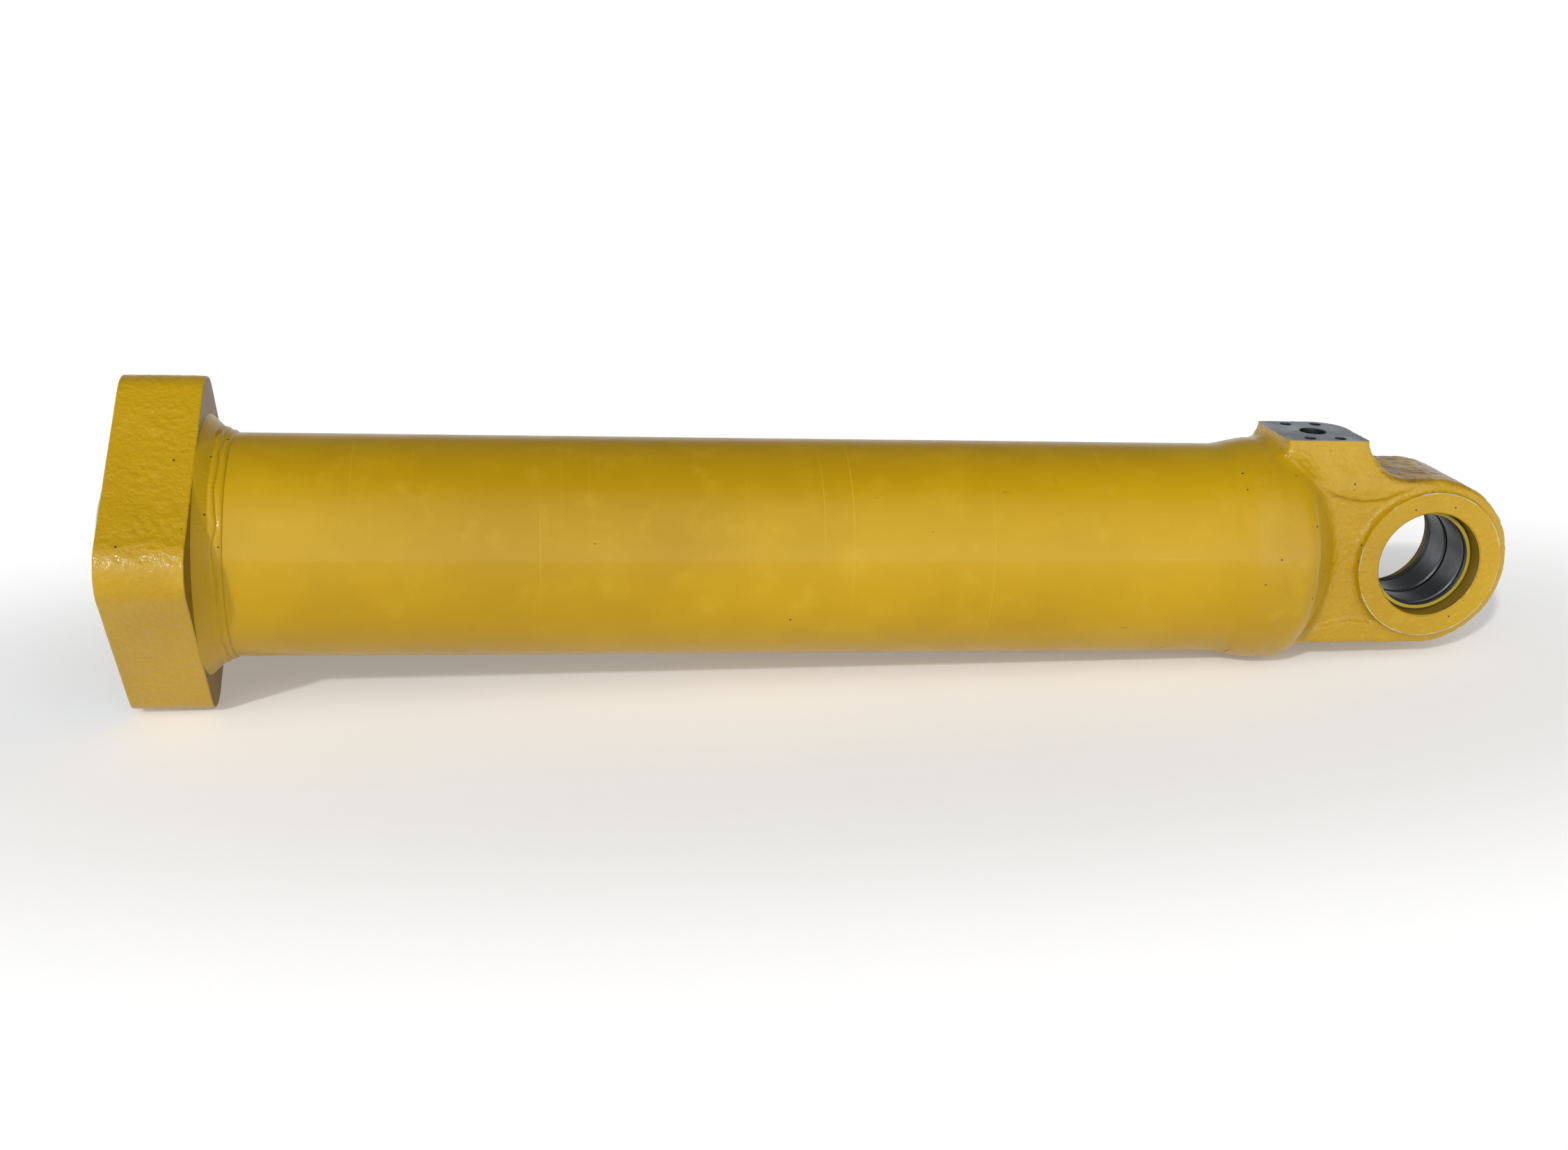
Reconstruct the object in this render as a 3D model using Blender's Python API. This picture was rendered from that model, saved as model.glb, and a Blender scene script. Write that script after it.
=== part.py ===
"""Double-acting hydraulic cylinder: flanged barrel with a forged cap-end eye, gland, piston and rod.

Metres, +Z up. The cylinder lies along X, rod end at -X and pin eye at +X, with the port pad facing up.
Stations along the cylinder are measured from the front face of the head flange, and the root empty
moves the whole assembly so that the world origin is the middle of its box, on the cylinder's axis.
"""

import math

import bmesh
import bpy
from mathutils import Matrix, Vector

# Driving dimensions -----------------------------------------------------------------------------
BORE_R = 0.0800          # barrel bore
TUBE_R = 0.1000          # barrel outside
ROD_R = 0.0550
PIN_R = 0.0450           # eye pin
STROKE = 0.7350          # the piston's travel, from fully retracted
EYE_X = 1.2026           # eye centre, from the front face of the flange

GAP = 0.0003             # between pieces that touch
SLIDE_GAP = 0.0007       # between round pieces that turn in one another
SEGMENTS = 30            # sides of a turned piece
SMALL_SEGMENTS = 12      # sides of a bolt or a small hole

# Head flange: a square with round corners, clocked so that one corner points almost straight down.
FLANGE_T = 0.0720
FLANGE_HALF = 0.1174
FLANGE_CORNER_R = 0.0367
FLANGE_CLOCK = math.radians(-6.9)
FLANGE_HOLE_PITCH_R = 0.1280
FLANGE_HOLE_R = 0.0110
FLANGE_HOLE_DEPTH = 0.0340
SOCKET_X = 0.0620        # the tube starts here, inside the flange
WELD_END_X = 0.0955
WELD_R = 0.1170

# Gland, bolted flush into the flange.
GLAND_FACE_X = 0.0020
GLAND_SEAT_X = 0.0300
GLAND_END_X = 0.1280
GLAND_FLANGE_R = 0.1030
BOLT_COUNT = 12
BOLT_PITCH_R = 0.0920
BOLT_R = 0.0060
BOLT_HEAD_R = 0.0090
BOLT_HEAD_H = 0.0120
BOLT_LENGTH = 0.0380
BOLT_KEY = 0.0100        # hexagon socket, across flats

# Cap end.
TUBE_END_X = 1.0000
CAP_WELD_X = 1.0124
CAP_SPIGOT_X = 0.9850
CAP_R = 0.1064
CAP_RECESS_R = 0.0620
CAP_RECESS_X = 1.0360
DOME_R = 0.1400
DOME_APEX_X = 1.1146
DOME_SHOULDER_R = 0.0250

# Eye.
LUG_R = 0.0820
LUG_HALF = 0.0520
BOSS_R = 0.0710
BOSS_HALF = 0.0577
EYE_BORE_R = 0.0508
BUSH_END_Y = 0.0334
BUSH_GAP_Y = 0.0020
SEAL_END_Y = 0.0420

# Ports: four-bolt flange pattern, 30.2 by 58.7 mm.
PAD_X = 1.0936
PAD_TOP = 0.1159
PAD_HALF_X = 0.0405
PAD_HALF_Y = 0.0410
PORT_R = 0.0122
PORT_BOLT_R = 0.0050
PORT_BOLT_DEPTH = 0.0240
PORT_PITCH_LONG = 0.0587
PORT_PITCH_SHORT = 0.0302
ROD_PORT_X = 0.1500       # between the gland and the extended piston
ROD_PORT_R = 0.0090

# Rod and piston, retracted.
ROD_FACE_X = -0.0180
ROD_SOCKET_R = 0.0300
ROD_SOCKET_DEPTH = 0.0900
ROD_FLAT_HALF = 0.0475
ROD_FLAT_LENGTH = 0.0160
PORT_ROOM = 0.0370        # keeps the extended piston clear of the rod-side port
PISTON_X = GLAND_END_X + PORT_ROOM + STROKE
PISTON_LENGTH = 0.0800
PISTON_R = 0.0793
SPIGOT_R = 0.0420
THREAD_R = 0.0400
NUT_R = 0.0560
NUT_LENGTH = 0.0360
NUT_SLOTS = 4

ASSEMBLY_END_X = EYE_X + LUG_R
ORIGIN_X = (ROD_FACE_X + ASSEMBLY_END_X) / 2

PAINT = ("yellow_paint", (0.60, 0.37, 0.03), 0.28, 0.0)
CHROME = ("rod_chrome", (0.78, 0.79, 0.80), 0.10, 1.0)
BLACK_OXIDE = ("black_oxide", (0.05, 0.05, 0.055), 0.45, 1.0)
IRON = ("gland_iron", (0.20, 0.20, 0.21), 0.50, 1.0)
BUSH_STEEL = ("bush_steel", (0.17, 0.18, 0.19), 0.35, 1.0)
RUBBER = ("seal_rubber", (0.03, 0.03, 0.03), 0.60, 0.0)
LIP_SEAL = ("painted_lip_seal", (0.62, 0.56, 0.06), 0.40, 0.0)
POLYURETHANE = ("polyurethane", (0.10, 0.22, 0.34), 0.40, 0.0)
PTFE = ("bronze_ptfe", (0.22, 0.13, 0.07), 0.45, 0.0)
PHENOLIC = ("fabric_phenolic", (0.33, 0.20, 0.10), 0.55, 0.0)


# Helpers ----------------------------------------------------------------------------------------
def clear_scene():
    for obj in list(bpy.data.objects):
        bpy.data.objects.remove(obj, do_unlink=True)


def material(finish):
    name, colour, roughness, metallic = finish
    found = bpy.data.materials.get(name)
    if found:
        return found
    made = bpy.data.materials.new(name)
    made.use_nodes = True
    shader = made.node_tree.nodes["Principled BSDF"]
    shader.inputs["Base Color"].default_value = (*colour, 1.0)
    shader.inputs["Roughness"].default_value = roughness
    shader.inputs["Metallic"].default_value = metallic
    made.diffuse_color = (*colour, 1.0)
    return made


def empty(name, parent=None, location=(0, 0, 0)):
    obj = bpy.data.objects.new(name, None)
    obj.location = location
    obj.parent = parent
    bpy.context.collection.objects.link(obj)
    return obj


def mesh_object(name, bm, parent, finish=None):
    """Make an object from a bmesh. With no finish it is a cutter or a helper, and isn't rendered."""
    bmesh.ops.recalc_face_normals(bm, faces=bm.faces)
    mesh = bpy.data.meshes.new(name)
    bm.to_mesh(mesh)
    bm.free()
    obj = bpy.data.objects.new(name, mesh)
    obj.parent = parent
    bpy.context.collection.objects.link(obj)
    if finish is None:
        obj.hide_render = True
        obj.display_type = "WIRE"
        return obj
    mesh.shade_smooth()
    mesh.set_sharp_from_angle(angle=math.radians(35))
    mesh.materials.append(material(finish))
    return obj


def boolean(obj, tool, operation="DIFFERENCE", solver="EXACT"):
    modifier = obj.modifiers.new(f"{operation.lower()}_{tool.name}", "BOOLEAN")
    modifier.operation = operation
    modifier.solver = solver
    modifier.object = tool
    return obj


def arc(centre, radius, start, end, steps):
    """Points from angle start to angle end, in degrees, about a centre in a plane."""
    points = []
    for i in range(steps + 1):
        angle = math.radians(start + (end - start) * i / steps)
        points.append((centre[0] + radius * math.cos(angle), centre[1] + radius * math.sin(angle)))
    return points


def turned(profile, segments=SEGMENTS, closed=True, hexagon=()):
    """Turn a profile of (x, radius) points about X. A ring's profile closes on itself, and a solid's
    runs from axis to axis. Points whose indices are in hexagon get the outline of a hexagon."""
    bm = bmesh.new()
    rings = []
    for index, (x, radius) in enumerate(profile):
        if radius == 0.0:
            rings.append([bm.verts.new((x, 0.0, 0.0))])
            continue
        ring = []
        for i in range(segments):
            angle = 2 * math.pi * i / segments
            reach = radius
            if index in hexagon:
                turn = angle % (math.pi / 3) - math.pi / 6
                reach = radius * math.cos(math.pi / 6) / math.cos(turn)
            ring.append(bm.verts.new((x, reach * math.cos(angle), reach * math.sin(angle))))
        rings.append(ring)
    pairs = list(zip(rings, rings[1:]))
    if closed:
        pairs.append((rings[-1], rings[0]))
    for first, second in pairs:
        for i in range(segments):
            j = (i + 1) % segments
            corners = [first[i % len(first)], first[j % len(first)]]
            corners += [second[j % len(second)], second[i % len(second)]]
            bm.faces.new(list(dict.fromkeys(corners)))
    return bm


def along_y(bm):
    """Turn a shape made about X so that it lies about Y."""
    bmesh.ops.rotate(bm, cent=(0, 0, 0), matrix=Matrix.Rotation(math.pi / 2, 3, "Z"), verts=bm.verts)
    return bm


def along_z(bm):
    """Turn a shape made about X so that it lies about Z."""
    bmesh.ops.rotate(bm, cent=(0, 0, 0), matrix=Matrix.Rotation(-math.pi / 2, 3, "Y"), verts=bm.verts)
    return bm


def moved(bm, offset):
    bmesh.ops.translate(bm, vec=offset, verts=bm.verts)
    return bm


def rod_shape(radius, start, end, segments=SMALL_SEGMENTS):
    """A plain cylinder about X, from start to end."""
    return turned([(start, 0.0), (start, radius), (end, radius), (end, 0.0)], segments, closed=False)


def ring_shape(start, end, inner, outer):
    return turned([(start, inner), (start, outer), (end, outer), (end, inner)])


def o_ring_shape(x, radius, section, sides=6):
    return turned(arc((x, radius), section, 0, 360, sides)[:-1])


def prism_y(outline, low, high):
    """Extrude an (x, z) outline along Y."""
    bm = bmesh.new()
    near = [bm.verts.new((x, low, z)) for x, z in outline]
    face = bm.faces.new(near)
    extruded = bmesh.ops.extrude_face_region(bm, geom=[face])
    far = [item for item in extruded["geom"] if isinstance(item, bmesh.types.BMVert)]
    bmesh.ops.translate(bm, vec=(0, high - low, 0), verts=far)
    return bm


def frustum_z(low, high, low_half, high_half, centre_low, centre_high):
    """A four-sided block that tapers along Z. Halves and centres are (x, y)."""
    bm = bmesh.new()
    rings = []
    for z, half, centre in ((low, low_half, centre_low), (high, high_half, centre_high)):
        signs = ((-1, -1), (1, -1), (1, 1), (-1, 1))
        rings.append([
            bm.verts.new((centre[0] + sx * half[0], centre[1] + sy * half[1], z)) for sx, sy in signs
        ])
    bm.faces.new(rings[0])
    bm.faces.new(rings[1])
    for i in range(4):
        j = (i + 1) % 4
        bm.faces.new([rings[0][i], rings[0][j], rings[1][j], rings[1][i]])
    return bm


def port_tools(name, parent, to_place, bolt_depth):
    """Cutters of the four bolt holes of a port face. to_place puts a shape about X onto the face."""
    tools = []
    for i, (along, across) in enumerate(((-1, -1), (1, -1), (1, 1), (-1, 1))):
        shape = rod_shape(PORT_BOLT_R, -bolt_depth, 0.010)
        to_place(shape, along * PORT_PITCH_SHORT / 2, across * PORT_PITCH_LONG / 2)
        tools.append(mesh_object(f"{name}_hole_tool_{i + 1}", shape, parent))
    return tools


# Barrel -----------------------------------------------------------------------------------------
def flange_outline():
    """The flange's outline seen along X, as (y, z) points."""
    points = []
    centre_r = (FLANGE_HALF - FLANGE_CORNER_R) * math.sqrt(2)
    for corner in range(4):
        middle = math.degrees(FLANGE_CLOCK) + 90 * corner
        angle = math.radians(middle)
        centre = (centre_r * math.cos(angle), centre_r * math.sin(angle))
        points += arc(centre, FLANGE_CORNER_R, middle - 45, middle + 45, 10)
    return points


def make_head_flange(root):
    bm = bmesh.new()
    front = bm.faces.new([bm.verts.new((0, y, z)) for y, z in flange_outline()])
    extruded = bmesh.ops.extrude_face_region(bm, geom=[front])
    back = [item for item in extruded["geom"] if isinstance(item, bmesh.types.BMVert)]
    bmesh.ops.translate(bm, vec=(FLANGE_T, 0, 0), verts=back)
    flange = mesh_object("head_flange", bm, root, PAINT)
    seat = GLAND_SEAT_X + GAP
    bore = [
        (-0.010, 0.0), (-0.010, GLAND_FLANGE_R + GAP), (seat, GLAND_FLANGE_R + GAP),
        (seat, BORE_R), (SOCKET_X, BORE_R), (SOCKET_X, TUBE_R + GAP),
        (FLANGE_T + 0.010, TUBE_R + GAP), (FLANGE_T + 0.010, 0.0),
    ]
    boolean(flange, mesh_object("flange_bore_tool", turned(bore, closed=False), root))
    for i in range(4):
        angle = FLANGE_CLOCK + math.pi / 2 * i
        hole = rod_shape(FLANGE_HOLE_R, -0.010, FLANGE_HOLE_DEPTH)
        moved(hole, Vector((0, math.cos(angle), math.sin(angle))) * FLANGE_HOLE_PITCH_R)
        boolean(flange, mesh_object(f"flange_hole_tool_{i + 1}", hole, root))
    for i in range(BOLT_COUNT):
        hole = rod_shape(BOLT_R + GAP, 0.020, 0.0560)
        moved(hole, bolt_place(i))
        boolean(flange, mesh_object(f"gland_tap_tool_{i + 1}", hole, root))
    return flange


def make_barrel_tube(root):
    start = SOCKET_X + GAP
    tube = mesh_object("barrel_tube", ring_shape(start, TUBE_END_X, BORE_R, TUBE_R), root, PAINT)
    hole = moved(along_y(rod_shape(ROD_PORT_R, 0.070, 0.110)), (ROD_PORT_X, 0, 0))
    return boolean(tube, mesh_object("tube_port_tool", hole, root))


def make_weld_beads(root):
    face = FLANGE_T + GAP
    inside = TUBE_R + GAP
    bead = [
        (face, inside), (face, WELD_R), (face + 0.004, WELD_R - 0.0015),
        (face + 0.008, WELD_R - 0.007), (face + 0.0135, WELD_R - 0.0125),
        (WELD_END_X - 0.004, inside + 0.0015), (WELD_END_X, inside + 0.0005), (WELD_END_X, inside),
    ]
    mesh_object("head_weld_bead", turned(bead), root, PAINT)
    start = TUBE_END_X + GAP
    end = CAP_WELD_X
    middle = (start + end) / 2
    inner = BORE_R + GAP
    seam = [
        (start, inner), (start, TUBE_R), (start + 0.001, TUBE_R + 0.0012), (middle, TUBE_R + 0.0024),
        (end - 0.001, TUBE_R + 0.0022), (end, TUBE_R + 0.0015), (end, inner),
    ]
    mesh_object("cap_weld_bead", turned(seam), root, PAINT)


def dome_profile():
    """The cap's outside, from the weld to the apex of its dome, as (x, radius) points."""
    sphere_x = DOME_APEX_X - DOME_R
    shoulder_r = CAP_R - DOME_SHOULDER_R
    reach = DOME_R - DOME_SHOULDER_R
    shoulder_x = sphere_x + math.sqrt(reach ** 2 - shoulder_r ** 2)
    turn = math.degrees(math.atan2(shoulder_r, shoulder_x - sphere_x))
    points = [(CAP_WELD_X + GAP, TUBE_R + 0.0026), (CAP_WELD_X + 0.010, CAP_R - 0.0014)]
    points += arc((shoulder_x, shoulder_r), DOME_SHOULDER_R, 90, turn, 4)
    points += arc((sphere_x, 0), DOME_R, turn, 0, 6)[1:-1]
    return points + [(DOME_APEX_X, 0.0)]


def make_cap_end(root):
    """The cap-end forging: dome, lug, boss and port pad in one piece, with its drillings.

    Its drillings cross one another, where the EXACT solver leaves open edges, so it uses MANIFOLD."""
    shoulder = CAP_WELD_X + GAP
    inside = [
        (CAP_RECESS_X, 0.0), (CAP_RECESS_X, CAP_RECESS_R), (CAP_SPIGOT_X, CAP_RECESS_R),
        (CAP_SPIGOT_X, BORE_R - GAP), (shoulder, BORE_R - GAP),
    ]
    cap = mesh_object("cap_end_eye", turned(inside + dome_profile(), closed=False), root, PAINT)
    lug = arc((EYE_X, 0), LUG_R, -90, 90, 16)
    lug += [(PAD_X - 0.030, LUG_R), (PAD_X - 0.030, -LUG_R)]
    lug = mesh_object("lug_tool", prism_y(lug, -LUG_HALF, LUG_HALF), root)
    column = frustum_z(
        0.060, PAD_TOP, (0.056, LUG_HALF - 0.0015), (PAD_HALF_X, PAD_HALF_Y),
        (PAD_X + 0.010, 0.0), (PAD_X, 0.0),
    )
    column = mesh_object("pad_tool", column, root)
    boss = moved(along_y(rod_shape(BOSS_R, -BOSS_HALF, BOSS_HALF, SEGMENTS)), (EYE_X, 0, 0))
    boss = mesh_object("boss_tool", boss, root)
    for body in (lug, column, boss):
        boolean(cap, body, "UNION", "MANIFOLD")
    bore = moved(along_y(rod_shape(EYE_BORE_R, -0.070, 0.070, SEGMENTS)), (EYE_X, 0, 0))
    tools = [mesh_object("eye_bore_tool", bore, root)]
    gallery = rod_shape(PORT_R - 0.001, CAP_RECESS_X - 0.005, PAD_X + 0.004)
    tools.append(mesh_object("gallery_tool", gallery, root))
    drop = moved(along_z(rod_shape(PORT_R, -0.006, PAD_TOP + 0.010)), (PAD_X, 0, 0))
    tools.append(mesh_object("cap_port_tool", drop, root))

    def on_pad(shape, along, across):
        moved(along_z(shape), (PAD_X + along, across, PAD_TOP))

    for tool in tools + port_tools("pad", root, on_pad, PORT_BOLT_DEPTH):
        boolean(cap, tool, solver="MANIFOLD")
    return cap


def make_rod_port(root):
    """The rod-side port block, saddled on the far side of the tube."""
    block = frustum_z(
        0.084, PAD_TOP, (0.0405, 0.0430), (0.0365, 0.0400), (0.0, 0.0), (0.0, 0.0),
    )
    turn = Matrix.Rotation(-math.pi / 2, 3, "X")
    bmesh.ops.rotate(block, cent=(0, 0, 0), matrix=turn, verts=block.verts)
    moved(block, (ROD_PORT_X, 0, 0))
    block = mesh_object("rod_port_block", block, root, PAINT)
    saddle = rod_shape(TUBE_R + GAP, 0.050, 0.250, SEGMENTS)
    boolean(block, mesh_object("saddle_tool", saddle, root))
    drop = moved(along_y(rod_shape(PORT_R, 0.080, PAD_TOP + 0.010)), (ROD_PORT_X, 0, 0))
    boolean(block, mesh_object("rod_port_tool", drop, root))

    def on_face(shape, along, across):
        moved(along_y(shape), (ROD_PORT_X + along, PAD_TOP, across))

    for tool in port_tools("rod_port", root, on_face, 0.0110):
        boolean(block, tool)
    return block


def make_eye_fittings(root):
    centre = (EYE_X, 0, 0)
    outer = EYE_BORE_R - GAP
    for side, name in ((-1, "near"), (1, "far")):
        ends = sorted((side * BUSH_GAP_Y, side * BUSH_END_Y))
        bush = moved(along_y(ring_shape(*ends, PIN_R, outer)), centre)
        mesh_object(f"eye_bushing_{name}", bush, root, BUSH_STEEL)
        ends = sorted((side * (BUSH_END_Y + GAP), side * SEAL_END_Y))
        seal = moved(along_y(ring_shape(*ends, PIN_R + 0.0004, outer)), centre)
        mesh_object(f"eye_seal_{name}", seal, root, LIP_SEAL)


# Gland ------------------------------------------------------------------------------------------
# Grooves in the gland's bore, as (start, end, floor radius).
WIPER_GROOVE = (GLAND_FACE_X, 0.0125, 0.0630)
ROD_SEAL_GROOVE = (0.0240, 0.0389, 0.0630)
BUFFER_GROOVE = (0.0500, 0.0586, 0.0620)
GUIDE_GROOVES = ((0.0680, 0.0886, 0.0585), (0.0960, 0.1166, 0.0585))
STATIC_GROOVE = (0.0960, 0.1070, 0.0743)
ROD_BORE_R = ROD_R + 0.0005
LIP_R = ROD_R + 0.0004


def bolt_place(index):
    angle = 2 * math.pi * (index + 0.5) / BOLT_COUNT
    return Vector((0, math.cos(angle), math.sin(angle))) * BOLT_PITCH_R


def make_gland(root):
    start, end, floor = WIPER_GROOVE
    profile = [(start, floor), (end, floor), (end, ROD_BORE_R)]
    for start, end, floor in (ROD_SEAL_GROOVE, BUFFER_GROOVE, *GUIDE_GROOVES):
        profile += [(start, ROD_BORE_R), (start, floor), (end, floor), (end, ROD_BORE_R)]
    body_r = BORE_R - GAP
    start, end, floor = STATIC_GROOVE
    profile += [
        (GLAND_END_X, ROD_BORE_R), (GLAND_END_X, body_r - 0.002), (GLAND_END_X - 0.004, body_r),
        (end, body_r), (end, floor), (start, floor), (start, body_r),
        (GLAND_SEAT_X, body_r), (GLAND_SEAT_X, GLAND_FLANGE_R), (GLAND_FACE_X, GLAND_FLANGE_R),
    ]
    gland = mesh_object("rod_gland", turned(profile), root, IRON)
    for i in range(BOLT_COUNT):
        seat = GLAND_FACE_X + 0.001 + BOLT_HEAD_H + GAP
        stepped = [
            (-0.010, 0.0), (-0.010, BOLT_HEAD_R + 0.0005), (seat, BOLT_HEAD_R + 0.0005),
            (seat, BOLT_R + GAP), (0.040, BOLT_R + GAP), (0.040, 0.0),
        ]
        hole = moved(turned(stepped, SMALL_SEGMENTS, closed=False), bolt_place(i))
        boolean(gland, mesh_object(f"gland_hole_tool_{i + 1}", hole, root))
    return gland


def make_gland_bolts(root):
    head = GLAND_FACE_X + 0.001
    under = head + BOLT_HEAD_H
    tip = under + BOLT_LENGTH
    key_r = BOLT_KEY / 2 / math.cos(math.pi / 6)
    profile = [
        (head + 0.006, 0.0), (head + 0.006, key_r), (head, key_r), (head, BOLT_HEAD_R - 0.001),
        (head + 0.001, BOLT_HEAD_R), (under, BOLT_HEAD_R), (under, BOLT_R), (tip - 0.001, BOLT_R),
        (tip, BOLT_R - 0.001), (tip, 0.0),
    ]
    for i in range(BOLT_COUNT):
        bolt = turned(profile, SMALL_SEGMENTS, closed=False, hexagon=(1, 2))
        mesh_object(f"gland_bolt_{i + 1:02d}", moved(bolt, bolt_place(i)), root, BLACK_OXIDE)


def in_groove(groove, first, last, lip, name, root, finish):
    """A ring that fills part of a groove in the gland's bore."""
    shape = ring_shape(groove[0] + first, groove[0] + last, lip, groove[2] - GAP)
    mesh_object(name, shape, root, finish)


def make_gland_seals(root):
    in_groove(WIPER_GROOVE, 0.0005, 0.0100, LIP_R, "rod_wiper", root, POLYURETHANE)
    in_groove(ROD_SEAL_GROOVE, GAP, 0.0118, LIP_R, "rod_seal", root, POLYURETHANE)
    in_groove(ROD_SEAL_GROOVE, 0.0121, 0.0146, LIP_R, "rod_seal_backup_ring", root, PTFE)
    in_groove(BUFFER_GROOVE, GAP, 0.0083, LIP_R, "rod_buffer_seal", root, PTFE)
    for groove, name in zip(GUIDE_GROOVES, ("front", "rear")):
        in_groove(groove, GAP, 0.0203, LIP_R, f"rod_guide_ring_{name}", root, PHENOLIC)
    start, end, floor = STATIC_GROOVE
    section = (BORE_R - floor - 2 * GAP) / 2
    middle = (BORE_R + floor) / 2
    ring = o_ring_shape(start + GAP + section, middle, section)
    mesh_object("gland_o_ring", ring, root, RUBBER)
    backup = ring_shape(start + 2 * GAP + 2 * section, end - GAP, floor + GAP, BORE_R - GAP)
    mesh_object("gland_backup_ring", backup, root, PTFE)


# Rod and piston ---------------------------------------------------------------------------------
# Grooves round the piston, from its front face, as (start, end, floor radius).
DUST_GROOVES = ((0.0035, 0.0095, 0.0737), (0.0720, 0.0775, 0.0737))
WEAR_GROOVES = ((0.0140, 0.0320, 0.0762), (0.0500, 0.0680, 0.0762))
SEAL_GROOVE = (0.0360, 0.0460, 0.0690)
BORE_GROOVE = (0.0200, 0.0262, 0.0460)


def make_piston_rod(rod_axis):
    socket_end = ROD_FACE_X + ROD_SOCKET_DEPTH
    shoulder = PISTON_X - GAP
    thread_end = PISTON_X + PISTON_LENGTH + NUT_LENGTH + 0.008
    profile = [
        (socket_end + 0.008, 0.0), (socket_end, ROD_SOCKET_R), (ROD_FACE_X, ROD_SOCKET_R),
        (ROD_FACE_X, ROD_R - 0.003), (ROD_FACE_X + 0.003, ROD_R), (shoulder, ROD_R),
        (shoulder, SPIGOT_R), (PISTON_X + PISTON_LENGTH, SPIGOT_R),
        (PISTON_X + PISTON_LENGTH, THREAD_R), (thread_end - 0.002, THREAD_R),
        (thread_end, THREAD_R - 0.002), (thread_end, 0.0),
    ]
    rod = mesh_object("piston_rod", turned(profile, closed=False), rod_axis, CHROME)
    for side in (-1, 1):
        bm = bmesh.new()
        bmesh.ops.create_cube(bm, size=1.0)
        bmesh.ops.scale(bm, vec=(0.060, 0.030, 0.200), verts=bm.verts)
        moved(bm, (ROD_FACE_X + ROD_FLAT_LENGTH - 0.030, side * (ROD_FLAT_HALF + 0.015), 0))
        boolean(rod, mesh_object(f"rod_flat_tool_{'left' if side < 0 else 'right'}", bm, rod_axis))
    return rod


def make_piston(rod_axis):
    end = PISTON_X + PISTON_LENGTH
    bore_r = SPIGOT_R + GAP
    profile = [(PISTON_X, bore_r), (PISTON_X, PISTON_R)]
    for start, stop, floor in sorted((*DUST_GROOVES, *WEAR_GROOVES, SEAL_GROOVE)):
        profile += [
            (PISTON_X + start, PISTON_R), (PISTON_X + start, floor),
            (PISTON_X + stop, floor), (PISTON_X + stop, PISTON_R),
        ]
    start, stop, floor = BORE_GROOVE
    profile += [
        (end, PISTON_R), (end, bore_r), (PISTON_X + stop, bore_r), (PISTON_X + stop, floor),
        (PISTON_X + start, floor), (PISTON_X + start, bore_r),
    ]
    mesh_object("piston", turned(profile), rod_axis, IRON)
    section = (floor - SPIGOT_R - 2 * GAP) / 2
    middle = (floor + SPIGOT_R) / 2
    ring = o_ring_shape(PISTON_X + (start + stop) / 2, middle, section)
    mesh_object("piston_bore_o_ring", ring, rod_axis, RUBBER)


def make_piston_nut(rod_axis):
    """A round slotted nut, with a radial screw that locks it on the rod's thread."""
    start = PISTON_X + PISTON_LENGTH + GAP
    end = start + NUT_LENGTH
    inner = THREAD_R + GAP
    profile = [
        (start, inner), (start, NUT_R), (end - 0.002, NUT_R), (end, NUT_R - 0.002), (end, inner),
    ]
    nut = mesh_object("piston_nut", turned(profile), rod_axis, BLACK_OXIDE)
    middle = (start + end) / 2
    for i in range(NUT_SLOTS):
        bm = bmesh.new()
        bmesh.ops.create_cube(bm, size=1.0)
        bmesh.ops.scale(bm, vec=(0.040, 0.010, 0.012), verts=bm.verts)
        moved(bm, (end + 0.006, 0, NUT_R))
        turn = Matrix.Rotation(math.radians(45 + 360 / NUT_SLOTS * i), 3, "X")
        bmesh.ops.rotate(bm, cent=(0, 0, 0), matrix=turn, verts=bm.verts)
        boolean(nut, mesh_object(f"nut_slot_tool_{i + 1}", bm, rod_axis))
    screw_x = middle - 0.004
    tap = moved(along_z(rod_shape(0.0043, 0.030, 0.070)), (screw_x, 0, 0))
    boolean(nut, mesh_object("lock_tap_tool", tap, rod_axis))
    tip = inner + 0.001
    head = NUT_R - 0.002
    key_r = 0.004 / 2 / math.cos(math.pi / 6)
    profile = [
        (tip, 0.0), (tip, 0.0028), (tip + 0.001, 0.0040), (head, 0.0040), (head, key_r),
        (head - 0.004, key_r), (head - 0.004, 0.0),
    ]
    screw = turned(profile, SMALL_SEGMENTS, closed=False, hexagon=(4, 5))
    mesh_object("nut_lock_screw", moved(along_z(screw), (screw_x, 0, 0)), rod_axis, BLACK_OXIDE)


def make_piston_rings(ring_axis):
    outer = BORE_R - GAP
    for grooves, name, finish in (
        (DUST_GROOVES, "piston_dust_ring", PTFE), (WEAR_GROOVES, "piston_wear_ring", PHENOLIC),
    ):
        for groove, end_name in zip(grooves, ("front", "rear")):
            start, stop, floor = groove
            ring = ring_shape(
                PISTON_X + start + GAP, PISTON_X + stop - GAP, floor + SLIDE_GAP, outer,
            )
            mesh_object(f"{name}_{end_name}", ring, ring_axis, finish)
    start, stop, floor = SEAL_GROOVE
    split = floor + 0.0060
    energizer = ring_shape(
        PISTON_X + start + 0.001, PISTON_X + stop - 0.001, floor + SLIDE_GAP, split,
    )
    mesh_object("piston_seal_energizer", energizer, ring_axis, RUBBER)
    seal = ring_shape(PISTON_X + start + GAP, PISTON_X + stop - GAP, split + GAP, outer)
    mesh_object("piston_seal", seal, ring_axis, PTFE)


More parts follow.
